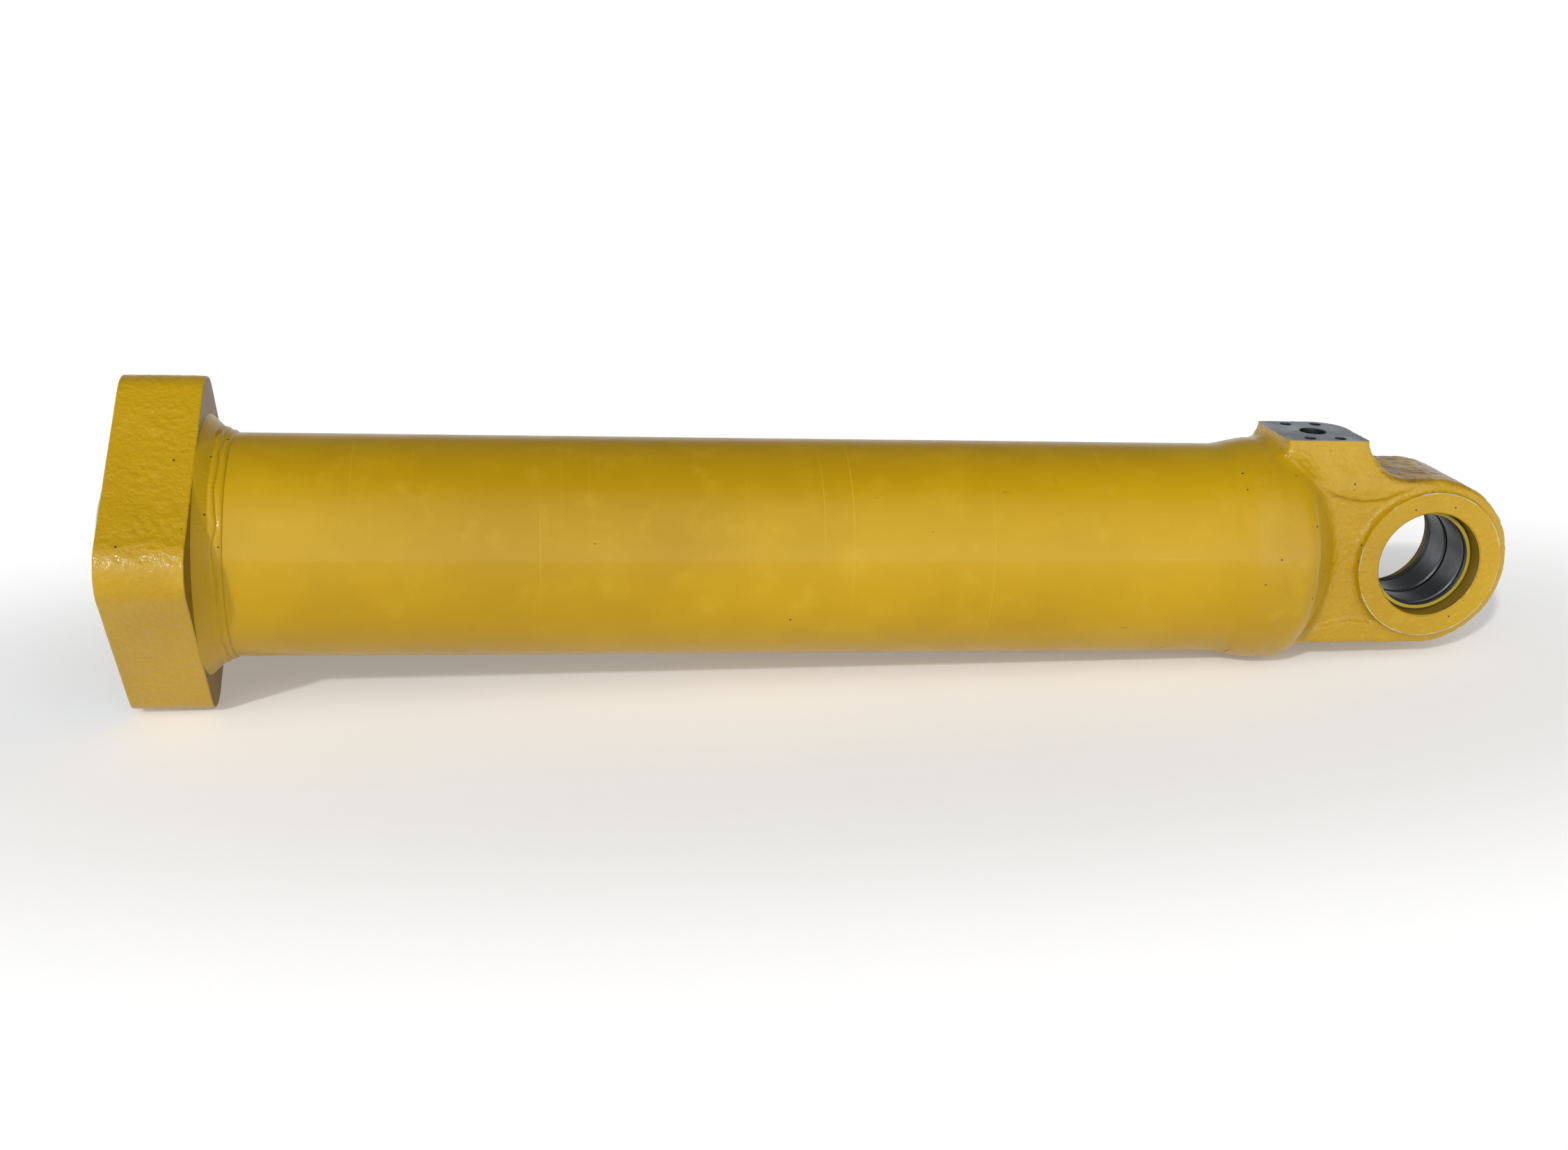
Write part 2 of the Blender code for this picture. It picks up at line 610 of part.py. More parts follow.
def main():
    clear_scene()
    root = empty("hydraulic_cylinder", location=(-ORIGIN_X, 0, 0))
    make_head_flange(root)
    make_barrel_tube(root)
    make_weld_beads(root)
    make_cap_end(root)
    make_rod_port(root)
    make_eye_fittings(root)
    make_gland(root)
    make_gland_bolts(root)
    make_gland_seals(root)
    ring_axis = empty("ring_axis", root)
    make_piston_rings(ring_axis)
    rod_axis = empty("rod_axis", ring_axis)
    make_piston_rod(rod_axis)
    make_piston(rod_axis)
    make_piston_nut(rod_axis)


main()
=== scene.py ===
"""The looks of the hydraulic cylinder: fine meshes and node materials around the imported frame.

Shapes are made in millimetres, with X measured from the front face of the head flange, and
raw_object() puts them in the frame's metres.
"""

import math

import bmesh
import bpy
import numpy as np
from mathutils import Matrix, Vector


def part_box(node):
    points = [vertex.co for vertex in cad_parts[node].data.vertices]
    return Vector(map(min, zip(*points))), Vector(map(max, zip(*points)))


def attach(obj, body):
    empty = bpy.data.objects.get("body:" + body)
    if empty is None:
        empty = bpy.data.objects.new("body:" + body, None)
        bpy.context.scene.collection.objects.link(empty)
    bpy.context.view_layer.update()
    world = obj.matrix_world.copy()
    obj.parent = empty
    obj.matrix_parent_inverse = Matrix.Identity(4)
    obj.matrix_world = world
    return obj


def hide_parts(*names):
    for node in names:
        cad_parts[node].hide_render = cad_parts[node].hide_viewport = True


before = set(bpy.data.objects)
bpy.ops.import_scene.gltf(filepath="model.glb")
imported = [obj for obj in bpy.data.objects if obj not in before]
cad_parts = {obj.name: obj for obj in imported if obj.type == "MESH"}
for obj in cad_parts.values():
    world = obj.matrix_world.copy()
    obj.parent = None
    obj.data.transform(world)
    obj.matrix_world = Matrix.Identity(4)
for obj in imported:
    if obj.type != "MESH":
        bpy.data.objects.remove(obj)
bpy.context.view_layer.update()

# ---- Stations and radii, read from the frame
MM = 0.001
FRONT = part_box("head_flange")[0].x


def span(node):
    """The stations at which a node starts and ends."""
    low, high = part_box(node)
    return (low.x - FRONT) / MM, (high.x - FRONT) / MM


def reach(node):
    """The outer radius of a turned node."""
    low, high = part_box(node)
    return (high.y - low.y) / 2 / MM


def across(node):
    """Where a node starts and ends along Y."""
    low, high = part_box(node)
    return low.y / MM, high.y / MM


FLANGE_T = span("head_flange")[1]
TUBE_R = reach("barrel_tube")
TUBE_START, TUBE_END = span("barrel_tube")
WELD_END = span("head_weld_bead")[1]
WELD_R = reach("head_weld_bead")
CAP_START = span("cap_weld_bead")[1]
SPIGOT_START = span("cap_end_eye")[0]
EYE_X = sum(span("eye_bushing_near")) / 2
LUG_R = span("cap_end_eye")[1] - EYE_X
PAD_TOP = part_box("cap_end_eye")[1].z / MM
GLAND_START, GLAND_END = span("rod_gland")
GLAND_R = reach("rod_gland")
ROD_R = reach("piston_rod")
ROD_START, ROD_END = span("piston_rod")
PISTON_START, PISTON_END = span("piston")
SEAL_R = (span("eye_seal_near")[1] - span("eye_seal_near")[0]) / 2

GAP = 0.3          # between pieces that touch
BORE_R = 80.0
EYE_BORE_R = 50.8
PIN_R = 45.0
BOSS_R = 71.0
BOSS_HALF = 57.7
PAD_X = 1093.6
PORT_R = 12.2
PORT_PITCH = (30.2, 58.7)
PORT_CHAMFER = 1.0
GLAND_BOLTS = 12
GLAND_PITCH_R = 92.0
GLAND_SEAT = 30.0
FLAT = math.radians(60)          # the angle that one flat of a hexagon takes up


# ---- Shapes
HASH = np.array([73856093, 19349663, 83492791])


def noise(points, size, seed=0):
    """Smooth value noise from -1 to 1 with features of about the given size."""
    cell = np.floor(points / size).astype(np.int64)
    part = points / size - cell
    part = part * part * (3 - 2 * part)
    total = np.zeros(len(points))
    for corner in np.ndindex(2, 2, 2):
        key = (cell + corner) @ HASH + seed * 97531
        key = ((key ^ (key >> 13)) * 1274126177) & 0xFFFFFFFF
        value = ((key ^ (key >> 16)) & 0xFFFF) / 32767.5 - 1
        total += value * np.prod(np.where(corner, part, 1 - part), axis=1)
    return total


def smooth_min(a, b, width):
    """The smaller of two distances, with a fillet of about the given width where they meet."""
    near = np.maximum(width - np.abs(a - b), 0) / width
    return np.minimum(a, b) - near * near * width / 4


def smooth_max(a, b, width):
    return -smooth_min(-a, -b, width)


def ease(value, start, end):
    """0 before start and 1 after end, with a smooth turn between them."""
    t = np.clip((value - start) / (end - start), 0, 1)
    return t * t * (3 - 2 * t)


def arc(centre, radius, start, end, steps):
    turn = np.radians(np.linspace(start, end, steps + 1))
    return [(centre[0] + radius * math.cos(a), centre[1] + radius * math.sin(a)) for a in turn]


def grid_faces(rows, columns, close_rows, close_columns):
    """Quads over a grid of points stored row by row."""
    i = np.arange(rows if close_rows else rows - 1)[:, None]
    j = np.arange(columns if close_columns else columns - 1)[None, :]
    after_i, after_j = (i + 1) % rows, (j + 1) % columns
    quads = [
        i * columns + j, i * columns + after_j, after_i * columns + after_j, after_i * columns + j,
    ]
    return np.stack([q.ravel() for q in quads], 1)


def around_axis(x, radius, angle):
    """The points at these stations, radii and angles."""
    return np.stack([x, radius * np.cos(angle), radius * np.sin(angle)], -1).reshape(-1, 3)


def lathe(profile, segments=160, closed=True, wobble=None):
    """Turn an (x, radius) profile about X. wobble may change x and radius at each angle."""
    profile = np.array(profile, float)
    angle = np.tile(np.linspace(0, 2 * np.pi, segments, endpoint=False), (len(profile), 1))
    x = np.repeat(profile[:, :1], segments, 1)
    radius = np.repeat(profile[:, 1:], segments, 1)
    if wobble:
        x, radius = wobble(x, radius, angle)
    return around_axis(x, radius, angle), grid_faces(len(profile), segments, closed, True)


def chamfered(start, end, inner, outer, c):
    """The profile of a plain ring with chamfered edges."""
    return [
        (start, inner + c), (start, outer - c), (start + c, outer), (end - c, outer),
        (end, outer - c), (end, inner + c), (end - c, inner), (start + c, inner),
    ]


def drill(start, end, radius):
    """The profile of a plain cylinder."""
    return [(start, 0), (start, radius), (end, radius), (end, 0)]


def hexagon(angle, half_flats):
    """The radius of a hexagon's outline at each angle."""
    return half_flats / np.cos(angle % FLAT - FLAT / 2)


def rounded_ring(half_u, half_v, corner, count, spin=0.0):
    """Points and outward directions, evenly spaced round a rectangle with round corners."""
    halves = np.array([(half_u, half_v), (half_v, half_u)] * 2) - corner
    bend = corner * math.pi / 2
    sides = 2 * halves[:, 1] + bend
    ends = np.cumsum(sides)
    travel = np.arange(count) * ends[-1] / count
    quarter = np.searchsorted(ends, travel, side="right")
    along = travel - (ends - sides)[quarter]
    half_u, half_v = halves[quarter].T
    turn = np.clip((along - 2 * half_v) / bend, 0, 1) * math.pi / 2
    u = half_u + corner * np.cos(turn)
    v = np.clip(along, 0, 2 * half_v) - half_v + corner * np.sin(turn)
    angle = quarter * math.pi / 2 + spin
    cos, sin = np.cos(angle), np.sin(angle)
    ring = np.stack([u * cos - v * sin, u * sin + v * cos], 1)
    return ring, np.stack([np.cos(turn + angle), np.sin(turn + angle)], 1)


def thread_rows(start, end, inner, outer, pitch, rows_per_turn=8):
    """A profile with rows close enough together to carry a thread, and the wobble that cuts it."""
    count = int(abs(end - start) / pitch * rows_per_turn)
    rows = [(x, inner) for x in np.linspace(start, end, count)]

    def cut(x, radius, angle):
        phase = (x / pitch + angle / (2 * np.pi)) % 1
        height = np.clip(1.3 - 2.6 * np.abs(phase - 0.5), 0, 1)
        fade = ease(x, min(start, end), min(start, end) + pitch)
        fade *= 1 - ease(x, max(start, end) - pitch, max(start, end))
        threaded = np.abs(radius - inner) < 1e-6
        return x, radius + np.where(threaded, (outer - inner) * height * fade, 0)

    return rows, cut


def about_y(points):
    return points[:, [1, 0, 2]]


def about_z(points):
    return points[:, [2, 1, 0]]


def mirror_x(points):
    return points * np.array([-1, 1, 1])


PAINTED, BORED, MILLED = range(3)


def raw_object(name, points, faces, finish=None, cut=PAINTED):
    """A mesh object. One with a finish can be carved: cut is the number of its faces' finish."""
    mesh = bpy.data.meshes.new(name)
    for each in (finish, BORE_STEEL, PAD_STEEL) if finish else ():
        mesh.materials.append(each)
    placed = points * MM + np.array([FRONT, 0, 0])
    mesh.from_pydata(placed.tolist(), [], np.asarray(faces).tolist())
    bm = bmesh.new()
    bm.from_mesh(mesh)
    bmesh.ops.remove_doubles(bm, verts=bm.verts, dist=1e-7)
    bmesh.ops.recalc_face_normals(bm, faces=bm.faces)
    if bm.calc_volume(signed=True) < 0:
        bmesh.ops.reverse_faces(bm, faces=bm.faces)
    bm.to_mesh(mesh)
    bm.free()
    mesh.polygons.foreach_set("material_index", [cut] * len(mesh.polygons))
    obj = bpy.data.objects.new(name, mesh)
    bpy.context.scene.collection.objects.link(obj)
    return obj


def carve(obj, tools, operation="DIFFERENCE"):
    """Cut tools from obj, or join them to it, and keep the result as obj's mesh."""
    for tool in tools:
        tool.data.materials[PAINTED] = obj.data.materials[PAINTED]
        modifier = obj.modifiers.new("carve", "BOOLEAN")
        modifier.operation = operation
        modifier.solver = "MANIFOLD"
        modifier.object = tool
    graph = bpy.context.evaluated_depsgraph_get()
    graph.update()
    carved = bpy.data.meshes.new_from_object(obj.evaluated_get(graph))
    obj.modifiers.clear()
    obj.data = carved
    for tool in tools:
        bpy.data.objects.remove(tool)


def refinish(obj, finish, chosen):
    """Give a finish to the faces that chosen(centres, normals) picks."""
    count = len(obj.data.polygons)
    centres, normals = np.empty(count * 3), np.empty(count * 3)
    obj.data.polygons.foreach_get("center", centres)
    obj.data.polygons.foreach_get("normal", normals)
    centres = (centres.reshape(-1, 3) - np.array([FRONT, 0, 0])) / MM
    index = np.empty(count, int)
    obj.data.polygons.foreach_get("material_index", index)
    index[chosen(centres, normals.reshape(-1, 3))] = len(obj.data.materials)
    obj.data.materials.append(finish)
    obj.data.polygons.foreach_set("material_index", index)


def finish_piece(obj, body, slot, replaced=(), finish=None, sharp=35):
    """Shade the piece, give it its material and tie it to the frame."""
    obj.data.shade_smooth()
    obj.data.set_sharp_from_angle(angle=math.radians(sharp))
    if not obj.data.materials:
        obj.data.materials.append(finish or FINISHES[slot])
    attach(obj, body)
    if replaced:
        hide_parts(*replaced)


def painted_piece(obj, finish, replaced=(), sharp=35):
    finish_piece(obj, "barrel", "yellow_paint", replaced, finish, sharp)


def tool(shape, move=(0, 0, 0), turn=None, cut=PAINTED):
    """A cutter from a lathe's points and faces, turned and then moved."""
    points, faces = shape
    if turn:
        points = turn(points)
    return raw_object("tool", points + np.array(move), faces, BORE_STEEL, cut)


def block_tool(low, high, cut=PAINTED):
    corners = np.array([(x, y, z) for x in (low[0], high[0]) for y in (low[1], high[1])
                        for z in (low[2], high[2])], float)
    faces = [(0, 1, 3, 2), (4, 6, 7, 5), (0, 4, 5, 1), (2, 3, 7, 6), (0, 2, 6, 4), (1, 5, 7, 3)]
    return raw_object("tool", corners, faces, BORE_STEEL, cut)


def tapped_hole(depth, minor, major, pitch, segments=24):
    """A cutter for a tapped hole whose mouth is at x = 0 and which runs towards -x."""
    rows, cut = thread_rows(-depth, -1.2, minor, major, pitch)
    profile = [(-depth - minor * 0.6, 0)] + rows
    profile += [(-1.0, major), (0.0, major + 0.8), (6.0, major + 0.8), (6.0, 0)]
    return lathe(profile, segments, closed=False, wobble=cut)


def surface_net(field, low, high, step):
    """The zero surface of a field, as points and quads."""
    axes = [np.arange(a, b + step, step) for a, b in zip(low, high)]
    grid = np.stack(np.meshgrid(*axes, indexing="ij"), -1)
    values = field(grid.reshape(-1, 3)).reshape(grid.shape[:3])
    inside = values < 0
    shape = np.array(inside.shape) - 1
    count = np.zeros(shape, int)
    for corner in np.ndindex(2, 2, 2):
        count += inside[tuple(slice(c, c + n) for c, n in zip(corner, shape))]
    cells = np.argwhere((count > 0) & (count < 8))
    index = np.full(shape, -1)
    index[tuple(cells.T)] = np.arange(len(cells))
    total, crossings = np.zeros((len(cells), 3)), np.zeros(len(cells))
    for axis in range(3):
        forward = np.eye(3, dtype=int)[axis]
        for corner in np.ndindex(2, 2, 2):
            if corner[axis]:
                continue
            first = cells + corner
            a, b = values[tuple(first.T)], values[tuple((first + forward).T)]
            crossed = (a < 0) != (b < 0)
            part = np.where(crossed, a / np.where(crossed, a - b, 1), 0)
            total += np.where(crossed[:, None], first + part[:, None] * forward, 0)
            crossings += crossed
    points = np.array(low) + step * total / crossings[:, None]
    faces = []
    for axis in range(3):
        forward, u, v = np.roll(np.eye(3, dtype=int), -axis, 0)
        ahead = tuple(slice(f, None) for f in forward)
        behind = tuple(slice(None, -1 if f else None) for f in forward)
        edges = np.argwhere(inside[behind] != inside[ahead])
        around = [index[tuple((edges - d).T)] for d in (0 * u, u, u + v, v)]
        quads = np.stack(around, 1)
        flipped = inside[tuple(edges.T)]
        quads[flipped] = quads[flipped][:, ::-1]
        faces.append(quads)
    return points, np.concatenate(faces)


def slopes(field, points, reach_mm=0.05):
    """The field's gradient at each point."""
    found = []
    for axis in np.eye(3) * reach_mm:
        found.append((field(points + axis) - field(points - axis)) / (2 * reach_mm))
    return np.stack(found, 1)


def settle(field, points, rounds=3):
    """Move points onto the field's zero surface, and find their outward directions."""
    for _ in range(rounds):
        slope = slopes(field, points)
        steep = np.maximum((slope ** 2).sum(1), 1e-6)
        points = points - slope * np.clip(field(points) / steep, -1, 1)[:, None]
    slope = slopes(field, points)
    return points, slope / np.maximum(np.linalg.norm(slope, axis=1), 1e-6)[:, None]


# ---- Materials
class Nodes:
    """A node tree, with a short way to add and join its nodes."""

    def __init__(self, tree):
        self.tree = tree

    def add(self, kind, settings=None, **inputs):
        """Add a node. Inputs go by name, or by number with _ before it."""
        node = self.tree.nodes.new(kind)
        for key, value in (settings or {}).items():
            setattr(node, key, value)
        for key, value in inputs.items():
            key = int(key[1:]) if key[1:].isdigit() else key.replace("_", " ")
            self.join(node.inputs[key], value)
        return node

    def join(self, socket, value):
        if isinstance(value, bpy.types.NodeSocket):
            self.tree.links.new(value, socket)
        else:
            socket.default_value = (*value, 1) if socket.type == "RGBA" else value

    def range(self, value, start, end, low=0.0, high=1.0):
        return self.add(
            "ShaderNodeMapRange", {"interpolation_type": "SMOOTHSTEP"},
            _0=value, _1=start, _2=end, _3=low, _4=high,
        ).outputs[0]

    def math(self, operation, a, b=0.0):
        return self.add("ShaderNodeMath", {"operation": operation}, _0=a, _1=b).outputs[0]


class Shader(Nodes):
    """A material's nodes."""

    def __init__(self, name):
        self.material = bpy.data.materials.new(name)
        self.material.use_nodes = True
        super().__init__(self.material.node_tree)
        self.surface = self.tree.nodes["Principled BSDF"]
        self.place = self.add("ShaderNodeTexCoord").outputs["Object"]

    def set(self, **inputs):
        for key, value in inputs.items():
            self.join(self.surface.inputs[key.replace("_", " ")], value)

    def noise(self, scale, detail=3.0, roughness=0.55, stretch=None):
        place = self.place
        if stretch:
            place = self.add("ShaderNodeMapping", Vector=place, Scale=stretch).outputs[0]
        return self.add(
            "ShaderNodeTexNoise", Vector=place, Scale=scale, Detail=detail, Roughness=roughness,
        ).outputs["Fac"]

    def product(self, first, *factors):
        for factor in factors:
            first = self.math("MULTIPLY", first, factor)
        return first

    def squares(self, a, b):
        return self.math("ADD", self.product(a, a), self.product(b, b))

    def xyz(self):
        return self.add("ShaderNodeSeparateXYZ", Vector=self.place).outputs

    def off_middle(self):
        """Distance from the middle of the part, sideways."""
        return self.math("ABSOLUTE", self.xyz()["Y"])

    def off_pin(self):
        """Distance from the axis of the eye's pin."""
        x, _, z = self.xyz()
        return self.math("SQRT", self.squares(self.math("SUBTRACT", x, EYE_X * MM + FRONT), z))

    def mix(self, factor, a, b):
        node = self.add("ShaderNodeMix", {"data_type": "RGBA"})
        self.join(node.inputs["Factor"], factor)
        self.join(node.inputs[6], a)
        self.join(node.inputs[7], b)
        return node.outputs[2]

    def blend(self, factor, a, b):
        """Like mix, for numbers."""
        return self.add("ShaderNodeMix", {"data_type": "FLOAT"}, _0=factor, _2=a, _3=b).outputs[0]

    def bump(self, height, distance, before=None):
        node = self.add("ShaderNodeBump", Height=height, Distance=distance, Strength=1.0)
        if before:
            self.join(node.inputs["Normal"], before)
        return node.outputs[0]

    def specks(self, scale, size, share):
        """Small round spots: 1 on a spot, and 0 elsewhere. share is how many cells have one."""
        cells = self.add("ShaderNodeTexVoronoi", Vector=self.place, Scale=scale)
        near = self.range(cells.outputs["Distance"], size, size * 0.6)
        draw = self.add("ShaderNodeSeparateXYZ", Vector=cells.outputs["Color"]).outputs["X"]
        return self.product(near, self.math("GREATER_THAN", draw, 1 - share))


PAINT_DEEP = (0.345, 0.200, 0.0010)
PAINT_MID = (0.425, 0.256, 0.0015)
PAINT_PALE = (0.500, 0.322, 0.0200)
# A dark brown that painted shade mixes into the paint.
PAINTED_SHADE_BROWN = (0.050, 0.036, 0.018)
SPECK = (0.030, 0.022, 0.012)
# The brown of the painted reflection on the lug's top.
LUG_TOP_REFLECTION_BROWN = (0.135, 0.052, 0.020)
BARE_METAL = (0.55, 0.55, 0.52)
BLACK = (0.02, 0.02, 0.02)


def scratched(shader, colour, rough, marks):
    """Hoops left by slings, lengthwise scratches in rubbed patches, and short black ticks."""
    rubbed = shader.range(shader.noise(9.0, 3.0), 0.50, 0.62)
    hoops = shader.range(shader.noise(1.0, 1.0, stretch=(420, 2.2, 2.2)), 0.70, 0.76)
    lines = shader.range(shader.noise(1.0, 1.0, stretch=(5, 900, 260)), 0.72, 0.78)
    scratch = shader.math("MAXIMUM", shader.product(lines, rubbed), hoops)
    scratch = shader.product(scratch, marks)
    colour = shader.mix(scratch, colour, PAINT_PALE)
    ticks = shader.range(shader.noise(1.0, 0.0, stretch=(60, 700, 120)), 0.87, 0.89)
    colour = shader.mix(shader.product(ticks, rubbed), colour, SPECK)
    return colour, shader.blend(scratch, rough, 0.6)


def eye_wear_and_reflection(shader, colour):
    """Bare metal on the edge of the eye's face, and a painted brown reflection on the lug's top
    behind the pad.
    """
    off_edge = shader.math("ABSOLUTE", shader.math("SUBTRACT", shader.off_pin(), BOSS_R * MM))
    rim = shader.range(off_edge, 0.0009, 0.0004)
    face = BOSS_HALF * MM
    proud = shader.range(shader.off_middle(), face - 0.0012, face - 0.0006)
    rubbed = shader.range(shader.noise(28.0, 3.0), 0.46, 0.56)
    bare = shader.product(rim, proud, rubbed)
    colour = shader.mix(bare, colour, BARE_METAL)
    x, _, z = shader.xyz()
    # Painted reflection: a brown patch on the lug's top behind the pad, for the dark reflection that
    # face shows at a grazing angle.
    high = shader.product(shader.range(z, 0.062, 0.070), shader.range(z, 0.095, 0.085))
    behind_pad = shader.range(x, FRONT + (PAD_X + 36) * MM, FRONT + (PAD_X + 48) * MM)
    on_top = shader.range(shader.off_middle(), 0.053, 0.048)
    blotch = shader.range(shader.noise(38.0, 4.0, 0.65), 0.40, 0.60, 0, 0.75)
    brown_reflection = shader.product(high, behind_pad, on_top, blotch)
    return shader.mix(brown_reflection, colour, LUG_TOP_REFLECTION_BROWN), bare


def paint(name, grain=0.0, gloss=0.3, specks=0.2, marks=0.0, worn=False, lit_share=1.0):
    """Golden enamel: grain is the rough casting under it, gloss the weight of its clear coat, specks
    the share of cells with a black speck, and marks the strength of handling scratches. worn adds
    the wear of the eye and a painted reflection on the lug's top. The last argument, below 1, mixes
    painted shade into the colour."""
    shader = Shader(name)
    patchy = shader.noise(34.0, 4.0, 0.6)
    colour = shader.mix(shader.range(shader.noise(4.5, 4.0), 0.3, 0.7), PAINT_DEEP, PAINT_MID)
    colour = shader.mix(shader.range(patchy, 0.5, 0.9, 0, 0.45), colour, PAINT_PALE)
    dust = shader.range(shader.noise(700.0, 2.0, 0.7), 0.5, 0.8, 0, 0.30)
    colour = shader.mix(dust, colour, PAINT_DEEP)
    # Painted shade: mixes the colour towards a dark brown.
    if lit_share < 1:
        colour = shader.mix(1 - lit_share, colour, PAINTED_SHADE_BROWN)
    colour = shader.mix(shader.specks(80.0, 0.10, specks), colour, SPECK)
    rough = shader.range(patchy, 0.3, 0.8, 0.34, 0.48)
    metal = 0.0
    normal = shader.bump(shader.noise(420.0, 2.0, 0.5), 0.00004)
    if grain:
        normal = shader.bump(shader.noise(230.0, 3.0, 0.55), 0.0011 * grain, before=normal)
    if marks:
        colour, rough = scratched(shader, colour, rough, marks)
    if worn:
        colour, metal = eye_wear_and_reflection(shader, colour)
    shader.set(Base_Color=colour, Roughness=rough, Metallic=metal, Normal=normal, Coat_Normal=normal)
    shader.set(Specular_IOR_Level=0.4 * gloss, Coat_Weight=gloss, Coat_Roughness=0.09, Coat_IOR=1.5)
    return shader.material


def turned_steel(name, light, dark, rough=(0.22, 0.42), axis="X", pitch=900.0, stain=0.5):
    """Machined metal with fine turning lines along an axis, and stains."""
    shader = Shader(name)
    stretch = {"X": (pitch, 6, 6), "Y": (6, pitch, 6)}[axis]
    lines = shader.noise(1.0, 2.0, 0.6, stretch=stretch)
    cloud = shader.noise(26.0, 4.0, 0.65)
    colour = shader.mix(shader.range(cloud, 0.35, 0.7, 0, stain), light, dark)
    colour = shader.mix(shader.range(lines, 0.35, 0.75, 0, 0.35), colour, dark)
    rough = shader.blend(shader.range(cloud, 0.3, 0.7), rough[0], rough[1])
    normal = shader.bump(lines, 0.00002)
    normal = shader.bump(shader.noise(200.0, 3.0), 0.00002, before=normal)
    shader.set(Base_Color=colour, Roughness=rough, Metallic=1.0, Normal=normal)
    return shader.material


def moulded(name, light, dark, rough=0.5, weave=0.0, sheen=0.0, lined=False):
    """Rubber or plastic: slight colour drift, mould grain and, with weave, a fabric print. lined
    leaves the inside of the eye's seals black."""
    shader = Shader(name)
    colour = shader.mix(shader.range(shader.noise(30.0, 4.0), 0.3, 0.7), light, dark)
    height = shader.noise(700.0, 3.0, 0.6)
    if weave:
        threads = [shader.add(
            "ShaderNodeTexWave", {"bands_direction": way}, Vector=shader.place, Scale=weave,
            Distortion=1.5,
        ).outputs["Fac"] for way in "XZ"]
        cloth = shader.product(*threads)
        colour = shader.mix(shader.range(cloth, 0.1, 0.8, 0, 0.6), colour, dark)
        height = shader.math("ADD", height, cloth)
    if lined:
        inside = shader.range(shader.off_pin(), PIN_R * MM + 0.0010, PIN_R * MM + 0.0005)
        deep = shader.range(shader.off_middle(), 0.0395, 0.0385)
        colour = shader.mix(shader.math("MAXIMUM", inside, deep), colour, BLACK)
    worn = shader.range(shader.noise(60.0, 3.0), 0.3, 0.8, rough * 0.85, min(rough * 1.2, 1.0))
    shader.set(Base_Color=colour, Roughness=worn, Normal=shader.bump(height, 0.00004))
    shader.set(Sheen_Weight=sheen)
    return shader.material


TUBE_PAINT = paint("tube_paint", specks=0.03, marks=0.5)
SEAM_PAINT = paint("seam_paint", grain=0.06, marks=0.5)
WELD_PAINT = paint("weld_paint", grain=0.25, specks=0.3)
FLANGE_PAINT = paint("flange_paint", grain=1.0, gloss=0.45, specks=0.3)
# Painted shade: a darker, duller paint for the flange's back face, which faces away from the light.
SHADE_PAINT = paint("flange_back_painted_shade", grain=0.30, gloss=0.1, specks=0.3, lit_share=0.38)
# Painted shade: a darker paint for the wall of the eye's bore.
EYE_BORE_SHADE_PAINT = paint("eye_bore_painted_shade", gloss=0.2, specks=0.3, lit_share=0.40)
CAP_PAINT = paint("cap_paint", grain=1.2, gloss=0.48, specks=0.25, worn=True)
DOME_PAINT = paint("dome_paint", grain=0.12, gloss=0.4, specks=0.3, marks=0.4)
BLOCK_PAINT = paint("block_paint", grain=0.20)
LIP_PAINT = moulded("lip_seal_paint", (0.40, 0.31, 0.015), (0.33, 0.26, 0.014), 0.42, lined=True)
PAD_STEEL = turned_steel(
    "pad_steel", (0.50, 0.55, 0.60), (0.24, 0.265, 0.285), (0.34, 0.55), axis="Y", pitch=500)
BORE_STEEL = turned_steel("bore_steel", (0.10, 0.105, 0.11), (0.04, 0.042, 0.045), (0.3, 0.5))
BUSH = turned_steel(
    "bush_steel", (0.125, 0.134, 0.142), (0.06, 0.063, 0.067), (0.24, 0.42), axis="Y")
IRON = turned_steel("gland_iron", (0.22, 0.225, 0.23), (0.10, 0.10, 0.105), (0.32, 0.5))
OXIDE = turned_steel("black_oxide", (0.045, 0.045, 0.05), (0.02, 0.02, 0.022), (0.32, 0.5))
CHROME = turned_steel(
    "rod_chrome", (0.72, 0.73, 0.745), (0.60, 0.61, 0.63), (0.06, 0.13), stain=0.2)
RUBBER = moulded("seal_rubber", (0.022, 0.022, 0.023), (0.012, 0.012, 0.012), 0.55, sheen=0.1)
URETHANE = moulded("polyurethane", (0.06, 0.15, 0.25), (0.04, 0.11, 0.19), 0.38)
PTFE = moulded("bronze_ptfe", (0.17, 0.095, 0.05), (0.11, 0.06, 0.03), 0.45)
PHENOLIC = moulded(
    "fabric_phenolic", (0.27, 0.15, 0.07), (0.17, 0.09, 0.04), 0.55, weave=420.0)


FINISHES = {
    "machined_steel": BUSH, "painted_lip_seal": LIP_PAINT, "gland_iron": IRON, "black_oxide": OXIDE,
    "seal_rubber": RUBBER, "polyurethane": URETHANE, "bronze_ptfe": PTFE,
    "fabric_phenolic": PHENOLIC,
}


def ring_piece(name, node, body, slot, profile):
    finish_piece(raw_object(name, *lathe(profile)), body, slot, [node])


def cord_ring(name, node, body, middle, section, steps):
    """An O-ring."""
    centre = (sum(span(node)) / 2, middle)
    ring_piece(name, node, body, "seal_rubber", arc(centre, section, 0, 360, steps)[:-1])


# ---- Barrel
FLANGE_CLOCK = math.radians(-6.9)
FLANGE_HALF = 117.4
FLANGE_CORNER_R = 36.7
FLANGE_EDGE = 1.6
FLANGE_PITCH_R = 128.0
FLANGE_ROW = 640                 # points round the flange
SKIN_DROP = 0.9                  # keeps the forged skin inside the CAD solid


